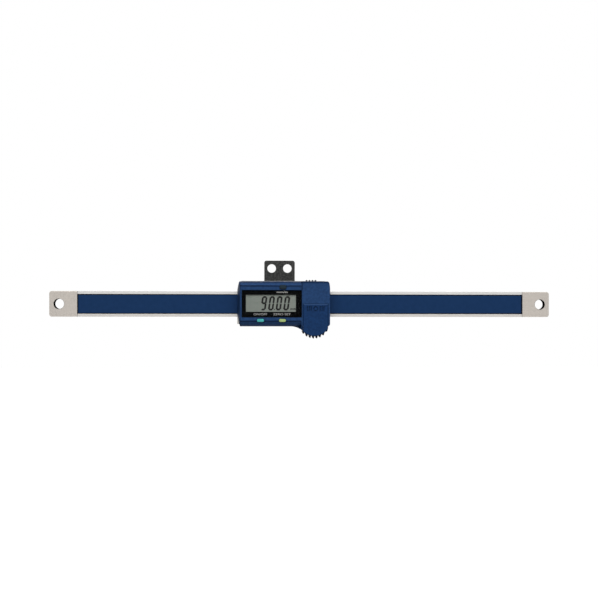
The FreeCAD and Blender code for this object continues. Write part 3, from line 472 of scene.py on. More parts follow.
# Colour of the painted shade on the rims of the blue pieces.
BLUE_RIM_SHADE = linear(11, 33, 62)
MOULDED = {
    # name: (colour, rim colour, rim width, roughness, fineness, grain, shine, painted recess shade), then its
    # nodes
    # The rim colour is painted shade on the blue pieces and the buttons, and rubbed wear on the others.
    "blue_housing": ((linear(32, 60, 100), BLUE_RIM_SHADE, 0.6 * MM, 0.5, 5200.0, 0.25, 0.08, 0.3),
                     "front_housing"),
    "blue_cover": ((linear(20, 49, 89), BLUE_RIM_SHADE, 0.15 * MM, 0.48, 5600.0, 0.25, 0.08, 0.0),
                   "battery_cover"),
    "black_ribs": ((linear(10, 12, 16), linear(26, 29, 34), 0.15 * MM, 0.55, 5200.0, 0.25, 0.08, 0.5),
                   "thumb_rest", "data_port_cover"),
    "teal_rubber": ((linear(69, 173, 171), linear(50, 140, 138), 0.3 * MM, 0.42, 3800.0, 0.15, 0.3, 1.0),
                    "on_off_button"),
    "green_rubber": ((linear(157, 180, 114), linear(136, 156, 98), 0.3 * MM, 0.42, 3800.0, 0.15, 0.3, 1.0),
                     "zero_button"),
    "dark_rubber": ((linear(28, 42, 52), linear(16, 28, 36), 0.4 * MM, 0.5, 3800.0, 0.2, 0.12, 1.0),
                    "unit_button"),
    "striped_rubber": ((linear(96, 98, 102), linear(120, 122, 126), 0.2 * MM, 0.7, 3000.0, 0.3, 0.5, 0.5),
                       "lcd_connectors"),
    "chip_resin": ((linear(14, 14, 15), linear(40, 40, 42), 0.2 * MM, 0.22, 900.0, 0.1, 0.6, 0.5),
                   "chip_cover"),
}


def moulded(name, colour, rim, rim_width, rough, fineness, grain, shine, recess_shade):
    material, tree, shader, place = new_finish(name, Specular_IOR_Level=shine)
    skin = effect(tree, GRAIN, Position=place, Fineness=fineness)
    rounded = effect(tree, EDGE_RUB_AND_SHADE, Radius=EDGE_ROUND)
    edge = effect(tree, EDGE_RUB_AND_SHADE, Radius=rim_width, Gain=RIM_GAIN)
    # Grooves and inner corners get a darker colour: painted shade.
    in_recess = effect(tree, RECESS_SHADE, Reach=RECESS_SHADE_REACH, Gain=recess_shade)
    marks = effect(tree, HANDLING, Position=place)
    mottled = mix_colour(tree, skin["Mottle"], shade(colour, 1 - MOTTLE), shade(colour, 1 + MOTTLE))
    # The rim colour is painted shade on the blue pieces and the buttons, and rubbed wear on the others.
    rimmed = mix_colour(tree, edge["Edge"], mottled, rim)
    feed(
        tree, shader,
        Base_Color=mix_colour(tree, in_recess["Recess Shade"], rimmed, shade(colour, RECESS_SHADE_FACTOR)),
        Roughness=between(tree, marks["Smudge"], rough - GLOSS_SPREAD, rough + GLOSS_SPREAD),
        Normal=bump(tree, skin["Height"], grain, GRAIN_DEPTH, rounded["Normal"]),
    )
    return material


for finish, (values, *pieces) in MOULDED.items():
    dress(moulded(finish, *values), *pieces)
print("moulded finishes:", ", ".join(MOULDED))

# %% [markdown]
# Two marks belong to one piece each. The outer rim of the housing, along its top, its bottom and its left
# side, gets a painted shade in front, and it follows the outline, so its mask comes from the place. The
# upper edge of the battery cover gets a painted highlight, a fine pale line where light from above falls.
# Only faces that lean upwards get it, so that mask comes from the upward part of the true normal.

# %% Painted shade on the rim of the housing and painted highlight on the edge of the cover
# Pale colour of the painted highlight on the cover's upper edge, and the faces that get it.
CREST_HIGHLIGHT = linear(43, 70, 109)
CREST_HIGHLIGHT_FACES = (0.4, 0.6)
# Share, faces, heights and left width of the painted shade on the housing's rim.
RIM_SHADE_SHARE = 0.85
RIM_SHADE_FACES = (-0.3, -0.1)
RIM_SHADE_HEIGHTS = (13.0 * MM, 13.3 * MM)
RIM_MIDDLE = -0.15 * MM
LEFT_RIM_SHADE = (1.9 * MM, 2.5 * MM)


def finish_of(node):
    """Tree, shader and present colour of a node's finish."""
    tree = nodes[node].data.materials[0].node_tree
    shader = next(part for part in tree.nodes if part.type == "BSDF_PRINCIPLED")
    return tree, shader, present_colour(shader)


def paint_rim_shade():
    # Painted shade: the top, bottom and left rims of the housing are darkened in front.
    tree, shader, plain = finish_of("front_housing")
    axes = split(tree, add(tree, "ShaderNodeTexCoord").outputs["Object"])
    height = calculate(tree, "ABSOLUTE", calculate(tree, "SUBTRACT", axes["Z"], RIM_MIDDLE))
    forward = fade(tree, facing(tree, "Y"), *RIM_SHADE_FACES, 1.0, 0.0)
    level = calculate(tree, "MULTIPLY", fade(tree, height, *RIM_SHADE_HEIGHTS, 0.0, RIM_SHADE_SHARE), forward)
    inward = calculate(tree, "SUBTRACT", axes["X"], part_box("front_housing")[0].x)
    side = fade(tree, inward, *LEFT_RIM_SHADE, RIM_SHADE_SHARE, 0.0)
    rim = calculate(tree, "MAXIMUM", level, side)
    feed(tree, shader, Base_Color=mix_colour(tree, rim, plain, BLUE_RIM_SHADE))


def paint_crest_highlight():
    tree, shader, plain = finish_of("battery_cover")
    # Painted highlight: faces of the cover that lean upwards get a paler colour.
    crest_highlight_share = fade(tree, facing(tree, "Z"), *CREST_HIGHLIGHT_FACES, 0.0, 1.0)
    feed(tree, shader, Base_Color=mix_colour(tree, crest_highlight_share, plain, CREST_HIGHLIGHT))


paint_rim_shade()
paint_crest_highlight()
print("dark rim from the middle in mm:", round(RIM_SHADE_HEIGHTS[0] / MM, 2))

# %% [markdown]
# ## Metals
# Screws, spring contacts, the bronze strip and the button cell are bare or plated metal. Each has fine
# lines from grinding, drawing or stamping, edges rubbed bright, and a painted shade in its corners. Lines
# cut into the mesh would be far finer than a pixel, so one function draws them in the colour, the gloss
# and the bump, and a table gives its values.

# %% Metal pieces
# Reach and colour factor of the painted shade in the corners of metal parts.
METAL_RECESS_SHADE_REACH = 0.5 * MM
METAL_RECESS_SHADE_FACTOR = 0.2
RUBBED_EDGE = 0.12 * MM
RUB_GAIN = 1.6
RUB_SHADE = 1.3
SMUDGE_SHARE = 0.6
GLOSS_BELOW = 0.1
GLOSS_ABOVE = 0.06
LINE_DEPTH = 0.02 * MM
ZINC = linear(182, 184, 190)
GOLD = linear(222, 182, 98)
METALS = {
    # name: (colour, roughness, fineness, spread of the colour, strength of the lines), then its nodes
    "zinc_screw": ((ZINC, 0.34, 5000.0), "housing_screws", "board_screws"),
    "zinc_rest_screw": ((ZINC, 0.34, 5200.0), "thumb_rest_screws"),
    "black_oxide": ((linear(46, 46, 48), 0.45, 4000.0), "bracket_screws", "gib_screws"),
    "bronze": ((linear(176, 136, 88), 0.4, 2600.0), "gib_strip"),
    "bright_steel": ((linear(184, 185, 188), 0.24, 3600.0, 0.08, 0.05), "battery", "dome_switches"),
    "gold_plate": ((GOLD, 0.25, 4200.0, 0.06), "battery_spring", "battery_clip"),
    "gold_pin": ((GOLD, 0.25, 4200.0, 0.06), "data_contacts"),
}


def metal(name, colour, rough, fineness=1800.0, spread=0.12, strength=0.12):
    material, tree, shader, place = new_finish(name, Metallic=1.0)
    ground = effect(tree, LINES, Position=place, Fineness=fineness)
    rub = effect(tree, EDGE_RUB_AND_SHADE, Radius=RUBBED_EDGE, Gain=RUB_GAIN)
    # Corners and grooves get a darker colour: painted shade.
    in_recess = effect(tree, RECESS_SHADE, Reach=METAL_RECESS_SHADE_REACH, Gain=1.0)
    marks = effect(tree, HANDLING, Position=place)
    lined = mix_colour(tree, ground["Lines"], shade(colour, 1 - spread), shade(colour, 1 + spread))
    rubbed = mix_colour(tree, rub["Edge"], lined, shade(colour, RUB_SHADE))
    smudge = calculate(tree, "MULTIPLY", marks["Smudge"], SMUDGE_SHARE)
    gloss = calculate(tree, "ADD", ground["Cloud"], smudge)
    feed(
        tree, shader,
        Base_Color=mix_colour(tree, in_recess["Recess Shade"], rubbed, shade(colour, METAL_RECESS_SHADE_FACTOR)),
        Roughness=between(tree, gloss, rough - GLOSS_BELOW, rough + GLOSS_ABOVE),
        Normal=bump(tree, ground["Lines"], strength, LINE_DEPTH, rub["Normal"]),
    )
    return material, tree, shader, place


for finish, (values, *pieces) in METALS.items():
    dress(metal(finish, *values)[0], *pieces)
print("metal finishes:", ", ".join(METALS))

# %% [markdown]
# The beam is ground along its length and left bare, with a fine speckle. Its end pads are a little darker
# than the two narrow lands beside the film, which the slider polishes. The upper land is painted paler
# than the lower one, as painted light from above. Its sides and back are painted darker still, and so are
# the walls of its end holes, both as painted shade. The frame of the slider is the same kind of steel,
# with the same painted shade on its sides and back. Beam and frame are one mesh each, so masks choose the
# places: the way that a face looks, and for the end holes the distance from their middles, which the
# record gives.

# %% Beam and frame
BEAM_GROUND = linear(210, 203, 195)
BEAM_POLISHED = linear(217, 216, 214)
BEAM_SPREAD = 0.05
SPECKLE = (0.78, 0.78, 0.78, 1.0)
SPECKLE_FINENESS = 1100.0
# The upper land's larger share of the polished colour is painted light from above.
UPPER_POLISH_AND_LIGHT = 1.0
LOWER_POLISH = 0.55
# Colour of the painted shade on the walls of the end holes.
HOLE_SHADE = linear(22, 20, 18)
HOLE_WALL = 0.1 * MM
# Darker steel of the frame everywhere but on its front below the upper edge; on the sides and back it is
# painted shade.
FRAME_DARKENED = linear(167, 166, 164)
FRAME_BRIGHT = linear(206, 203, 198)
FRAME_FINENESS = 1400.0
PLATE_EDGE = 13.0 * MM
STEEL_ROUGHNESS = 0.5
# Tint of the painted shade on the sides and backs of the steel.
SIDE_SHADE_TINT = (0.727, 0.747, 0.779, 1.0)
FRONT_FACES = (-0.65, -0.3)


def in_front(tree):
    """Mask of the faces that look to the front."""
    return fade(tree, facing(tree, "Y"), *FRONT_FACES, 1.0, 0.0)


def shade_sides_and_back(tree, colour):
    """Darken a steel on its sides and its back, as painted shade."""
    away = fade(tree, facing(tree, "Y"), *FRONT_FACES, 0.0, 1.0)
    return mix_colour(tree, away, colour, SIDE_SHADE_TINT, "MULTIPLY")


def end_hole_walls(tree, across, up):
    """Mask of the walls of both end holes."""
    hole = next(mount for mount in frame["record"]["mounts"] if mount["name"] == "beam_end_holes")["dims"]
    beside = calculate(tree, "SUBTRACT", across, hole["spacing_x_mm"] / 2 * MM)
    from_hole = add(tree, "ShaderNodeCombineXYZ", {"X": beside, "Z": up}).outputs[0]
    return calculate(tree, "LESS_THAN", length_of(tree, from_hole), hole["hole_r_mm"] * MM + HOLE_WALL)


def beam_steel():
    """Ground steel, with brighter lands between the end pads. The walls of the end holes get a painted shade.
    """
    material, tree, shader, place = metal("beam_steel", BEAM_GROUND, STEEL_ROUGHNESS, spread=BEAM_SPREAD)
    # The walls of the end holes, with their painted shade, are the only part that isn't metal, so only they
    # lose their shine by this.
    shader.inputs["Specular IOR Level"].default_value = 0.0
    axes = split(tree, place)
    across = calculate(tree, "ABSOLUTE", axes["X"])
    between_pads = calculate(tree, "LESS_THAN", across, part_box("scale_film")[1].x)
    on_land = calculate(tree, "MULTIPLY", between_pads, in_front(tree))
    # The upper land gets more of the polished colour than the lower one: painted light from above.
    upper = calculate(tree, "GREATER_THAN", axes["Z"], 0.0)
    share = calculate(tree, "MULTIPLY", on_land, between(tree, upper, LOWER_POLISH, UPPER_POLISH_AND_LIGHT))
    grain = effect(tree, GRAIN, Position=place, Fineness=SPECKLE_FINENESS)["Height"]
    # Painted shade on the sides and back.
    ground = shade_sides_and_back(tree, present_colour(shader))
    speckled = mix_colour(tree, grain, ground, SPECKLE, "MULTIPLY")
    polished = mix_colour(tree, share, speckled, BEAM_POLISHED)
    # Painted shade on the walls of the end holes.
    in_hole = end_hole_walls(tree, across, axes["Z"])
    feed(
        tree, shader,
        Base_Color=mix_colour(tree, in_hole, polished, HOLE_SHADE),
        Metallic=calculate(tree, "SUBTRACT", 1.0, in_hole),
    )
    return material


def frame_steel():
    """Steel of the slider's frame, bright in front, darker along its upper edge, and with painted shade on
    its back and sides.
    """
    material, tree, shader, place = metal("frame_steel", FRAME_DARKENED, STEEL_ROUGHNESS, FRAME_FINENESS)
    below_edge = calculate(tree, "LESS_THAN", split(tree, place)["Z"], PLATE_EDGE)
    bright = calculate(tree, "MULTIPLY", in_front(tree), below_edge)
    # Painted shade on the sides and back, and a darker colour along the upper edge.
    darkened_steel = shade_sides_and_back(tree, present_colour(shader))
    feed(tree, shader, Base_Color=mix_colour(tree, bright, darkened_steel, FRAME_BRIGHT))
    return material


dress(beam_steel(), "beam")
dress(frame_steel(), "slider_frame")

# %% [markdown]
# ## Black plate
# The mounting plate behind the slider is steel with a thin matt black coat. The coat is speckled, and
# the steel shows through a little on its edges. Wear that followed every edge alike would look painted
# on, so the mask of the edges is broken up by the smudges.

# %% Black plate
COAT = (linear(8, 8, 8), linear(51, 51, 49))
COAT_SPECK = linear(92, 91, 88)
BARE_EDGE = linear(104, 102, 98)
COAT_FINENESS = 6000.0
COAT_EDGE = 0.2 * MM
COAT_GLOSS = (0.48, 0.66)
COAT_DEPTH = 0.05 * MM
BLOTCH = (0.38, 0.62)


def coated_plate():
    material, tree, shader, place = new_finish("black_coat", Specular_IOR_Level=0.4)
    skin = effect(tree, GRAIN, Position=place, Fineness=COAT_FINENESS)
    rub = effect(tree, EDGE_RUB_AND_SHADE, Radius=COAT_EDGE, Gain=RUB_GAIN)
    marks = effect(tree, HANDLING, Position=place)
    blotch = fade(tree, skin["Mottle"], *BLOTCH, 0.0, 1.0)
    speckled = mix_colour(tree, marks["Speck"], mix_colour(tree, blotch, *COAT), COAT_SPECK)
    worn = calculate(tree, "MULTIPLY", rub["Edge"], marks["Smudge"])
    feed(
        tree, shader,
        Base_Color=mix_colour(tree, worn, speckled, BARE_EDGE),
        Roughness=between(tree, marks["Smudge"], *COAT_GLOSS),
        Normal=bump(tree, skin["Height"], strength=0.3, distance=COAT_DEPTH, normal=rub["Normal"]),
    )
    return material


dress(coated_plate(), "mounting_bracket")
print("coated plate:", nodes["mounting_bracket"].data.materials[0].name)

# %% [markdown]
# ## Blue film and the boards
# The film is darker in a narrow band along its edges, where the raised steel around it shades it. The band
# could be a piece of its own, but it is only painted shade, so a mask draws it from the distance to the
# nearest edge of the film's own box.
# The strip under the film and the circuit board are glass-fibre laminate, whose woven cloth shows through
# a tinted lacquer.

# %% Film and boards
# Width of the painted shade along the film's edges.
EDGE_SHADE_WIDTH = 0.6 * MM
FILM_BLUE = (linear(15, 44, 80), linear(23, 52, 92))
FILM_SPECK = linear(48, 74, 108)
# Colour of the painted shade along the film's edges.
FILM_EDGE_SHADE = linear(12, 22, 40)
FILM_FINENESS = 2200.0
FILM_GLOSS = (0.36, 0.5)
SPECK_SHARE = 0.3
SKIN_DEPTH = 0.02 * MM
CLOTH_SCALE = 1600.0
CLOTH_LIFT = 0.2
LACQUER_FINENESS = 4000.0
LACQUER_GLOSS = (0.3, 0.5)
BOARDS = {
    # name: (colour of the cloth, colour between its threads, node)
    "strip_laminate": (linear(66, 96, 62), linear(50, 78, 48), "scale_strip"),
    "green_lacquer": (linear(22, 96, 52), linear(12, 70, 36), "main_board"),
}


def edge_distance(tree, place, node):
    """Distance from the nearest edge of a flat node that faces the front."""
    low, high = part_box(node)
    middle = (low + high) / 2
    half = (high - low) / 2
    axes = split(tree, place)
    sides = []
    for axis, index in (("X", 0), ("Z", 2)):
        offset = calculate(tree, "ABSOLUTE", calculate(tree, "SUBTRACT", axes[axis], middle[index]))
        sides.append(calculate(tree, "SUBTRACT", half[index], offset))
    return calculate(tree, "MINIMUM", *sides)


def film():
    material, tree, shader, place = new_finish("blue_film", Specular_IOR_Level=0.08)
    skin = effect(tree, GRAIN, Position=place, Fineness=FILM_FINENESS)
    marks = effect(tree, HANDLING, Position=place)
    tone = mix_colour(tree, skin["Mottle"], *FILM_BLUE)
    grained = mix_colour(tree, calculate(tree, "MULTIPLY", marks["Speck"], SPECK_SHARE), tone, FILM_SPECK)
    # A narrow band along the film's edges gets a darker colour: painted shade where the raised steel meets
    # the film.
    border = calculate(tree, "LESS_THAN", edge_distance(tree, place, "scale_film"), EDGE_SHADE_WIDTH)
    feed(
        tree, shader,
        Base_Color=mix_colour(tree, border, grained, FILM_EDGE_SHADE),
        Roughness=between(tree, marks["Smudge"], *FILM_GLOSS),
        Normal=bump(tree, skin["Height"], strength=0.12, distance=SKIN_DEPTH),
    )
    return material


def laminate(name, colour, deep):
    """Glass-fibre board: woven cloth under a tinted lacquer."""
    material, tree, shader, place = new_finish(name, Specular_IOR_Level=0.5)
    cells = add(tree, "ShaderNodeTexChecker", {"Vector": place, "Scale": CLOTH_SCALE}).outputs["Fac"]
    skin = effect(tree, GRAIN, Position=place, Fineness=LACQUER_FINENESS)
    uneven = calculate(tree, "ADD", skin["Mottle"], CLOTH_LIFT)
    weave = calculate(tree, "MULTIPLY", cells, uneven, clamp=True)
    feed(
        tree, shader,
        Base_Color=mix_colour(tree, weave, deep, colour),
        Roughness=between(tree, skin["Mottle"], *LACQUER_GLOSS),
        Normal=bump(tree, weave, strength=0.1, distance=SKIN_DEPTH),
    )
    return material


dress(film(), "scale_film")
for finish, (colour, deep, piece) in BOARDS.items():
    dress(laminate(finish, colour, deep), piece)
print("film border in mm:", EDGE_SHADE_WIDTH / MM, "and boards:", ", ".join(BOARDS))

# %% [markdown]
# ## Window, mask and display
# The window is clear plastic, so light has to reach the display through it. A refracting solid would
# throw a shadow and make that light grainy, so shadow rays and scattered light pass it as if it were not
# there. The gloss black mask behind it is only a print on a real window, too thin to shade the display,
# so light passes it too. The window mirrors very little, as one with an anti-glare coat does, so its
# refractive index is set lower than that of plain plastic. The display is the grey-green of a reflective
# liquid crystal cell with a satin polariser on it.

# %% Window, mask and display
COATED_IOR = 1.03
WINDOW_GLOSS = (0.0, 0.03)
MASK_BLACK = linear(10, 11, 12)
MASK_DUST = linear(20, 20, 20)
MASK_GLOSS = (0.25, 0.4)
CELL_SHEEN = (linear(121, 128, 121), linear(131, 135, 128))
CELL_DOT = linear(110, 116, 109)
CELL_FINENESS = 9000.0
CELL_GLOSS = (0.35, 0.5)
CELL_DEPTH = 0.01 * MM
DOT_SHARE = 0.25


def let_pass(tree, shader, *kinds):
    """Let some kinds of rays go through a finish as if it were not there."""
    path = add(tree, "ShaderNodeLightPath").outputs
    rays = path[kinds[0]]
    for kind in kinds[1:]:
        rays = calculate(tree, "MAXIMUM", rays, path[kind])
    output = next(node for node in tree.nodes if node.type == "OUTPUT_MATERIAL")
    passing = add(tree, "ShaderNodeBsdfTransparent")
    both = add(tree, "ShaderNodeMixShader", {0: rays, 1: shader.outputs[0], 2: passing.outputs[0]})
    tree.links.new(both.outputs[0], output.inputs["Surface"])


def clear_window():
    material, tree, shader, place = new_finish(
        "clear_window", IOR=COATED_IOR, Transmission_Weight=1.0, Base_Color=WHITE)
    marks = effect(tree, HANDLING, Position=place)
    feed(tree, shader, Roughness=between(tree, marks["Smudge"], *WINDOW_GLOSS))
    let_pass(tree, shader, "Is Shadow Ray", "Is Diffuse Ray", "Is Glossy Ray")
    return material


def gloss_mask():
    material, tree, shader, place = new_finish("gloss_mask", Specular_IOR_Level=0.02)
    marks = effect(tree, HANDLING, Position=place)
    feed(
        tree, shader,
        Base_Color=mix_colour(tree, marks["Speck"], MASK_BLACK, MASK_DUST),
        Roughness=between(tree, marks["Smudge"], *MASK_GLOSS),
    )
    let_pass(tree, shader, "Is Shadow Ray", "Is Diffuse Ray")
    return material


def polarised_glass():
    material, tree, shader, place = new_finish("polarised_glass", Specular_IOR_Level=0.16)
    skin = effect(tree, GRAIN, Position=place, Fineness=CELL_FINENESS)
    marks = effect(tree, HANDLING, Position=place)
    dots = calculate(tree, "MULTIPLY", skin["Height"], DOT_SHARE)
    feed(
        tree, shader,
        Base_Color=mix_colour(tree, dots, mix_colour(tree, marks["Smudge"], *CELL_SHEEN), CELL_DOT),
        Roughness=between(tree, skin["Mottle"], *CELL_GLOSS),
        Normal=bump(tree, skin["Height"], strength=0.05, distance=CELL_DEPTH),
    )
    return material


dress(clear_window(), "display_window")
dress(gloss_mask(), "window_mask")
dress(polarised_glass(), "lcd_glass")

# %% [markdown]
# ## Ink
# Digits on a display and printed legends are flat colour to the eye, but ink lies unevenly and display
# segments have a faint texture. One plain colour would look pasted on, so even these get a little
# variation between a thin and a full tone.

# %% Ink
INK_FINENESS = 8000.0


def ink(name, thin, full, rough):
    material, tree, shader, place = new_finish(name, Specular_IOR_Level=0.3)
    marks = effect(tree, HANDLING, Position=place)
    skin = effect(tree, GRAIN, Position=place, Fineness=INK_FINENESS)
    feed(
        tree, shader,
        Base_Color=mix_colour(tree, skin["Height"], thin, full),
        Roughness=between(tree, marks["Smudge"], rough - GLOSS_SPREAD, rough + GLOSS_SPREAD),
    )
    return material


DARK_SEGMENT = ink("dark_segment", linear(10, 11, 10), linear(5, 5, 5), 0.5)
FAINT_SEGMENT = ink("faint_segment", linear(121, 128, 121), linear(118, 126, 118), 0.5)
WHITE_INK = ink("white_ink", linear(150, 150, 148), linear(178, 177, 175), 0.6)
PALE_INK = ink("pale_ink", linear(160, 160, 156), linear(186, 186, 182), 0.6)
print("inks:", ", ".join(tone.name for tone in (DARK_SEGMENT, FAINT_SEGMENT, WHITE_INK, PALE_INK)))

# %% [markdown]
# ## Display digits
# Every digit is the same seven bars, so Geometry Nodes make them: one bar shape for the lying segments,
# one for the upright ones and a dot, each instanced on points. The points carry a number that says which
# shape goes there. At the end the whole row is slanted, as display digits are.
# One run makes the dark segments that show the reading, and a second run makes the faint ones between.

# %% Segment tree
SIZES = ("Lying Length", "Upright Length", "Stroke", "Dot", "Thick", "Slant", "Middle Height")
DOT_SIDES = 12
MERGE_DISTANCE = 1e-7


def new_tree(name):
    """Empty geometry tree with a number for each size, and a material."""
    tree = bpy.data.node_groups.new(name, "GeometryNodeTree")
    tree.interface.new_socket("Geometry", in_out="INPUT", socket_type="NodeSocketGeometry")
    for size in SIZES:
        tree.interface.new_socket(size, in_out="INPUT", socket_type="NodeSocketFloat")
    tree.interface.new_socket("Material", in_out="INPUT", socket_type="NodeSocketMaterial")
    tree.interface.new_socket("Geometry", in_out="OUTPUT", socket_type="NodeSocketGeometry")
    return tree, add(tree, "NodeGroupInput").outputs


def join(tree, *parts):
    whole = add(tree, "GeometryNodeJoinGeometry")
    for part in parts:
        tree.links.new(part, whole.inputs[0])
    return whole.outputs[0]


def position(tree):
    return split(tree, add(tree, "GeometryNodeInputPosition").outputs[0])


def shift(tree, shape, distance):
    """Move each point of a shape along X by a distance of its own."""
    offset = add(tree, "ShaderNodeCombineXYZ", {"X": distance}).outputs[0]
    return add(tree, "GeometryNodeSetPosition", {"Geometry": shape, "Offset": offset}).outputs[0]


def prism(tree, flat, thick):
    """Close a flat face into a thin plate that stands out to the front."""
    raised = add(tree, "GeometryNodeExtrudeMesh", {"Mesh": flat, "Offset Scale": thick, "Individual": False})
    back = add(tree, "GeometryNodeFlipFaces", {"Mesh": flat})
    both = join(tree, raised.outputs["Mesh"], back.outputs["Mesh"])
    closed = add(tree, "GeometryNodeMergeByDistance", {"Geometry": both, "Distance": MERGE_DISTANCE})
    upright = (math.pi / 2, 0.0, 0.0)
    return add(tree, "GeometryNodeTransform", {"Geometry": closed.outputs[0], "Rotation": upright}).outputs[0]


def bar(tree, length, stroke, thick):
    """Six-sided bar with pointed ends: a hexagon whose halves are moved apart."""
    point = calculate(tree, "DIVIDE", stroke, math.sqrt(3))
    ring = add(tree, "GeometryNodeMeshCircle", {"Vertices": 6, "Radius": point}, fill_type="NGON")
    side = calculate(tree, "SIGN", position(tree)["X"])
    apart = calculate(tree, "SUBTRACT", calculate(tree, "MULTIPLY", length, 0.5), point)
    return prism(tree, shift(tree, ring.outputs[0], calculate(tree, "MULTIPLY", side, apart)), thick)


def segment_tree():
    tree, given = new_tree("display_segments")
    lying = bar(tree, given["Lying Length"], given["Stroke"], given["Thick"])
    upright = bar(tree, given["Upright Length"], given["Stroke"], given["Thick"])
    disc = add(tree, "GeometryNodeMeshCircle", {"Vertices": DOT_SIDES, "Radius": given["Dot"]},
               fill_type="NGON")
    dot = prism(tree, disc.outputs[0], given["Thick"])
    kind = add(tree, "GeometryNodeInputNamedAttribute", {"Name": "shape"}, data_type="INT").outputs[0]
    rows = []
    for number, (shape, turn) in enumerate(((lying, 0.0), (upright, math.pi / 2), (dot, 0.0))):
        chosen = add(tree, "FunctionNodeCompare", {2: kind, 3: number}, data_type="INT", operation="EQUAL")
        placed = add(tree, "GeometryNodeInstanceOnPoints", {
            "Points": given["Geometry"], "Selection": chosen.outputs[0], "Instance": shape,
            "Rotation": (0.0, turn, 0.0),
        })
        rows.append(placed.outputs[0])
    real = add(tree, "GeometryNodeRealizeInstances", {"Geometry": join(tree, *rows)})
    above = calculate(tree, "SUBTRACT", position(tree)["Z"], given["Middle Height"])
    slanted = shift(tree, real.outputs[0], calculate(tree, "MULTIPLY", above, given["Slant"]))
    painted = add(tree, "GeometryNodeSetMaterial", {"Geometry": slanted, "Material": given["Material"]})
    add(tree, "NodeGroupOutput", {"Geometry": painted.outputs[0]})
    return tree


SEGMENTS = segment_tree()
print("segment tree:", len(SEGMENTS.nodes), "nodes")

# %% [markdown]
# The reading is 90.00, right-aligned, with room for two more digits on the left. Each segment is named
# by its place in the digit, and a digit is dark where its own segments are. All the other segments and
# points of the row are faint, as on a real display seen close up. The places could be a list of measured
# points, but worked out from the digit's size they stay right when that size changes.

# %% Digits
DIGIT_WIDTH = 3.4 * MM
DIGIT_HEIGHT = 8.85 * MM
DIGIT_PITCH = 4.72 * MM
STROKE = 1.15 * MM
SEGMENT_GAP = 0.04 * MM
SEGMENT_THICK = 0.02 * MM
SLANT = math.tan(math.radians(8.0))
LAST_DIGIT = 9.8 * MM
POINT_RADIUS = 0.34 * MM
READING = "  9000"
POINT_AFTER = 3
LYING, UPRIGHT, DOT = range(3)
SEGMENT_PLACES = {
    # name: (shape, steps across, steps up)
    "top": (LYING, 0, 1),
    "middle": (LYING, 0, 0),
    "bottom": (LYING, 0, -1),
    "upper_left": (UPRIGHT, -1, 0.5),
    "upper_right": (UPRIGHT, 1, 0.5),
    "lower_left": (UPRIGHT, -1, -0.5),
    "lower_right": (UPRIGHT, 1, -0.5),
}
DARK_PLACES = {
    "0": SEGMENT_PLACES.keys() - {"middle"},
    "9": SEGMENT_PLACES.keys() - {"lower_left"},
}
lcd_low, lcd_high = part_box("lcd_glass")
lcd_middle = (lcd_low + lcd_high) / 2
LCD_FRONT = lcd_low.y
step_across = (DIGIT_WIDTH - STROKE) / 2
step_up = (DIGIT_HEIGHT - STROKE) / 2


def segment_points():
    """Places and shapes of the dark and of the faint segments."""
    dark, faint = [], []
    for index, digit in enumerate(READING):
        middle = lcd_middle.x + LAST_DIGIT - (len(READING) - 1 - index) * DIGIT_PITCH
        for name, (shape, across, up) in SEGMENT_PLACES.items():
            place = (middle + across * step_across, LCD_FRONT, lcd_middle.z + up * step_up)
            shown = dark if name in DARK_PLACES.get(digit, ()) else faint
            shown.append((place, shape))
        point = (middle + DIGIT_PITCH / 2, LCD_FRONT, lcd_middle.z - step_up)
        (dark if index == POINT_AFTER else faint).append((point, DOT))
    return dark, faint


def plain_mesh(piece):
    """The mesh that a piece's letters or modifiers make."""
    evaluated = piece.evaluated_get(bpy.context.evaluated_depsgraph_get())
    return bpy.data.meshes.new_from_object(evaluated)


def grow(name, points, sizes):
    """Run the segment tree on points and keep the plain mesh that it makes."""
    mesh = bpy.data.meshes.new(name)
    mesh.from_pydata([place for place, shape in points], [], [])
    shapes = mesh.attributes.new("shape", "INT", "POINT")
    shapes.data.foreach_set("value", [shape for place, shape in points])
    piece = put(name, mesh)
    modifier = piece.modifiers.new("segments", "NODES")
    modifier.node_group = SEGMENTS
    for socket in SEGMENTS.interface.items_tree:
        if socket.name in sizes:
            modifier[socket.identifier] = sizes[socket.name]
    plain = plain_mesh(piece)
    piece.modifiers.remove(modifier)
    piece.data = plain
    plain.name = name
    return piece


def make_digits():
    dark, faint = segment_points()
    sizes = {
        "Lying Length": 2 * step_across - SEGMENT_GAP,
        "Upright Length": step_up - SEGMENT_GAP,
        "Stroke": STROKE,
        "Dot": POINT_RADIUS,
        "Thick": SEGMENT_THICK,
        "Slant": SLANT,
        "Middle Height": lcd_middle.z,
    }
    for name, points, material in (
        ("display_digits", dark, DARK_SEGMENT),
        ("display_faint_segments", faint, FAINT_SEGMENT),
    ):
        piece = grow(name, points, {**sizes, "Material": material})
        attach(piece, "slider")
        print(name, len(points), "segments,", len(piece.data.polygons), "faces")


make_digits()

# %% [markdown]
# ## Lettering
# The legends beside the buttons are printed on the mask, behind the window, and the unit stands on the
# display. Drawing them in a material would need a picture of the words, so text objects give the letters.
# An offset of their outlines makes some bolder, and each is turned into a mesh, fitted to its width and
# height in millimetres and stood upright in its place.

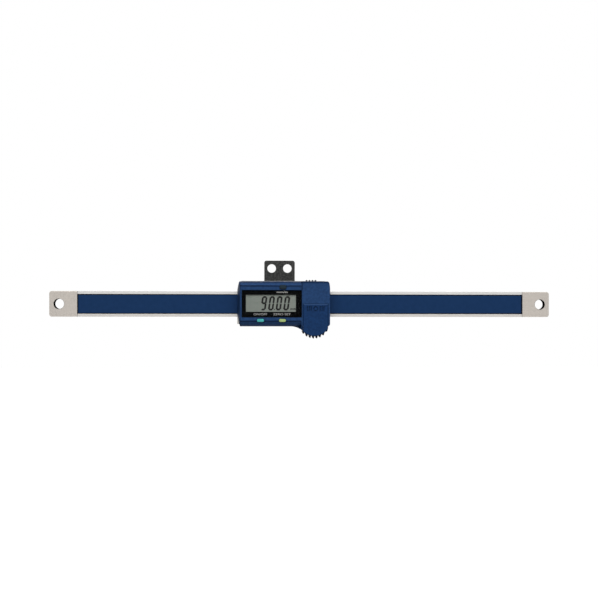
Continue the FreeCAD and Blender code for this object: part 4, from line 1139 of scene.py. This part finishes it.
# %% Lettering
LETTER_THICK = 0.01 * MM
PLAIN_WEIGHT = 0.0
MASK_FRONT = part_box("window_mask")[0].y
LEGENDS = {
    # name: (words, right of the display's middle, above it, width, height, weight, carrier's front, ink)
    "legend_on_off": ("ON/OFF", -6.5, -6.75, 8.4, 1.3, PLAIN_WEIGHT, MASK_FRONT, WHITE_INK),
    "legend_zero_set": ("ZERO SET", 6.8, -6.75, 10.9, 1.3, PLAIN_WEIGHT, MASK_FRONT, WHITE_INK),
    "legend_unit": ("mm/in", 6.95, 7.05, 6.7, 1.35, 0.01, MASK_FRONT, PALE_INK),
    "display_unit": ("mm", 13.75, -3.6, 3.5, 1.15, 0.03, LCD_FRONT, DARK_SEGMENT),
}


def lettering(name, words, across, up, width, height, weight, front, material):
    text = bpy.data.curves.new(name, "FONT")
    text.body = words
    text.extrude = LETTER_THICK
    text.offset = weight
    holder = put(name, text)
    mesh = plain_mesh(holder)
    bpy.data.objects.remove(holder)
    low = Vector(map(min, zip(*(vertex.co for vertex in mesh.vertices))))
    high = Vector(map(max, zip(*(vertex.co for vertex in mesh.vertices))))
    centred = Matrix.Translation(-(low + high) / 2)
    fitted = Matrix.Diagonal((width * MM / (high.x - low.x), height * MM / (high.y - low.y), 1.0, 1.0))
    upright = Matrix.Rotation(math.pi / 2, 4, "X")
    spot = Vector((lcd_middle.x + across * MM, front - LETTER_THICK, lcd_middle.z + up * MM))
    mesh.transform(Matrix.Translation(spot) @ upright @ fitted @ centred)
    mesh.name = name
    mesh.materials.clear()
    mesh.materials.append(material)
    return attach(put(name, mesh), "slider")


for legend, facts in LEGENDS.items():
    print(legend, len(lettering(legend, *facts).data.polygons), "faces")

# %% [markdown]
# A button cell has a plus sign stamped into its can. It is seen only while the battery cover is open, so
# a thin mark in a dull grey stands for the stamp, made as the legends are.

# %% Mark on the battery
STAMP = ink("stamp", linear(92, 92, 94), linear(110, 110, 112), 0.5)
PLUS_SIDE = 2.6
cell_low, cell_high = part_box("battery")
cell_middle = (cell_low + cell_high) / 2
beside = (cell_middle.x - lcd_middle.x) / MM
above = (cell_middle.z - lcd_middle.z) / MM
plus = lettering("battery_mark", "+", beside, above, PLUS_SIDE, PLUS_SIDE, PLAIN_WEIGHT, cell_low.y, STAMP)
print("battery mark", len(plus.data.polygons), "faces")
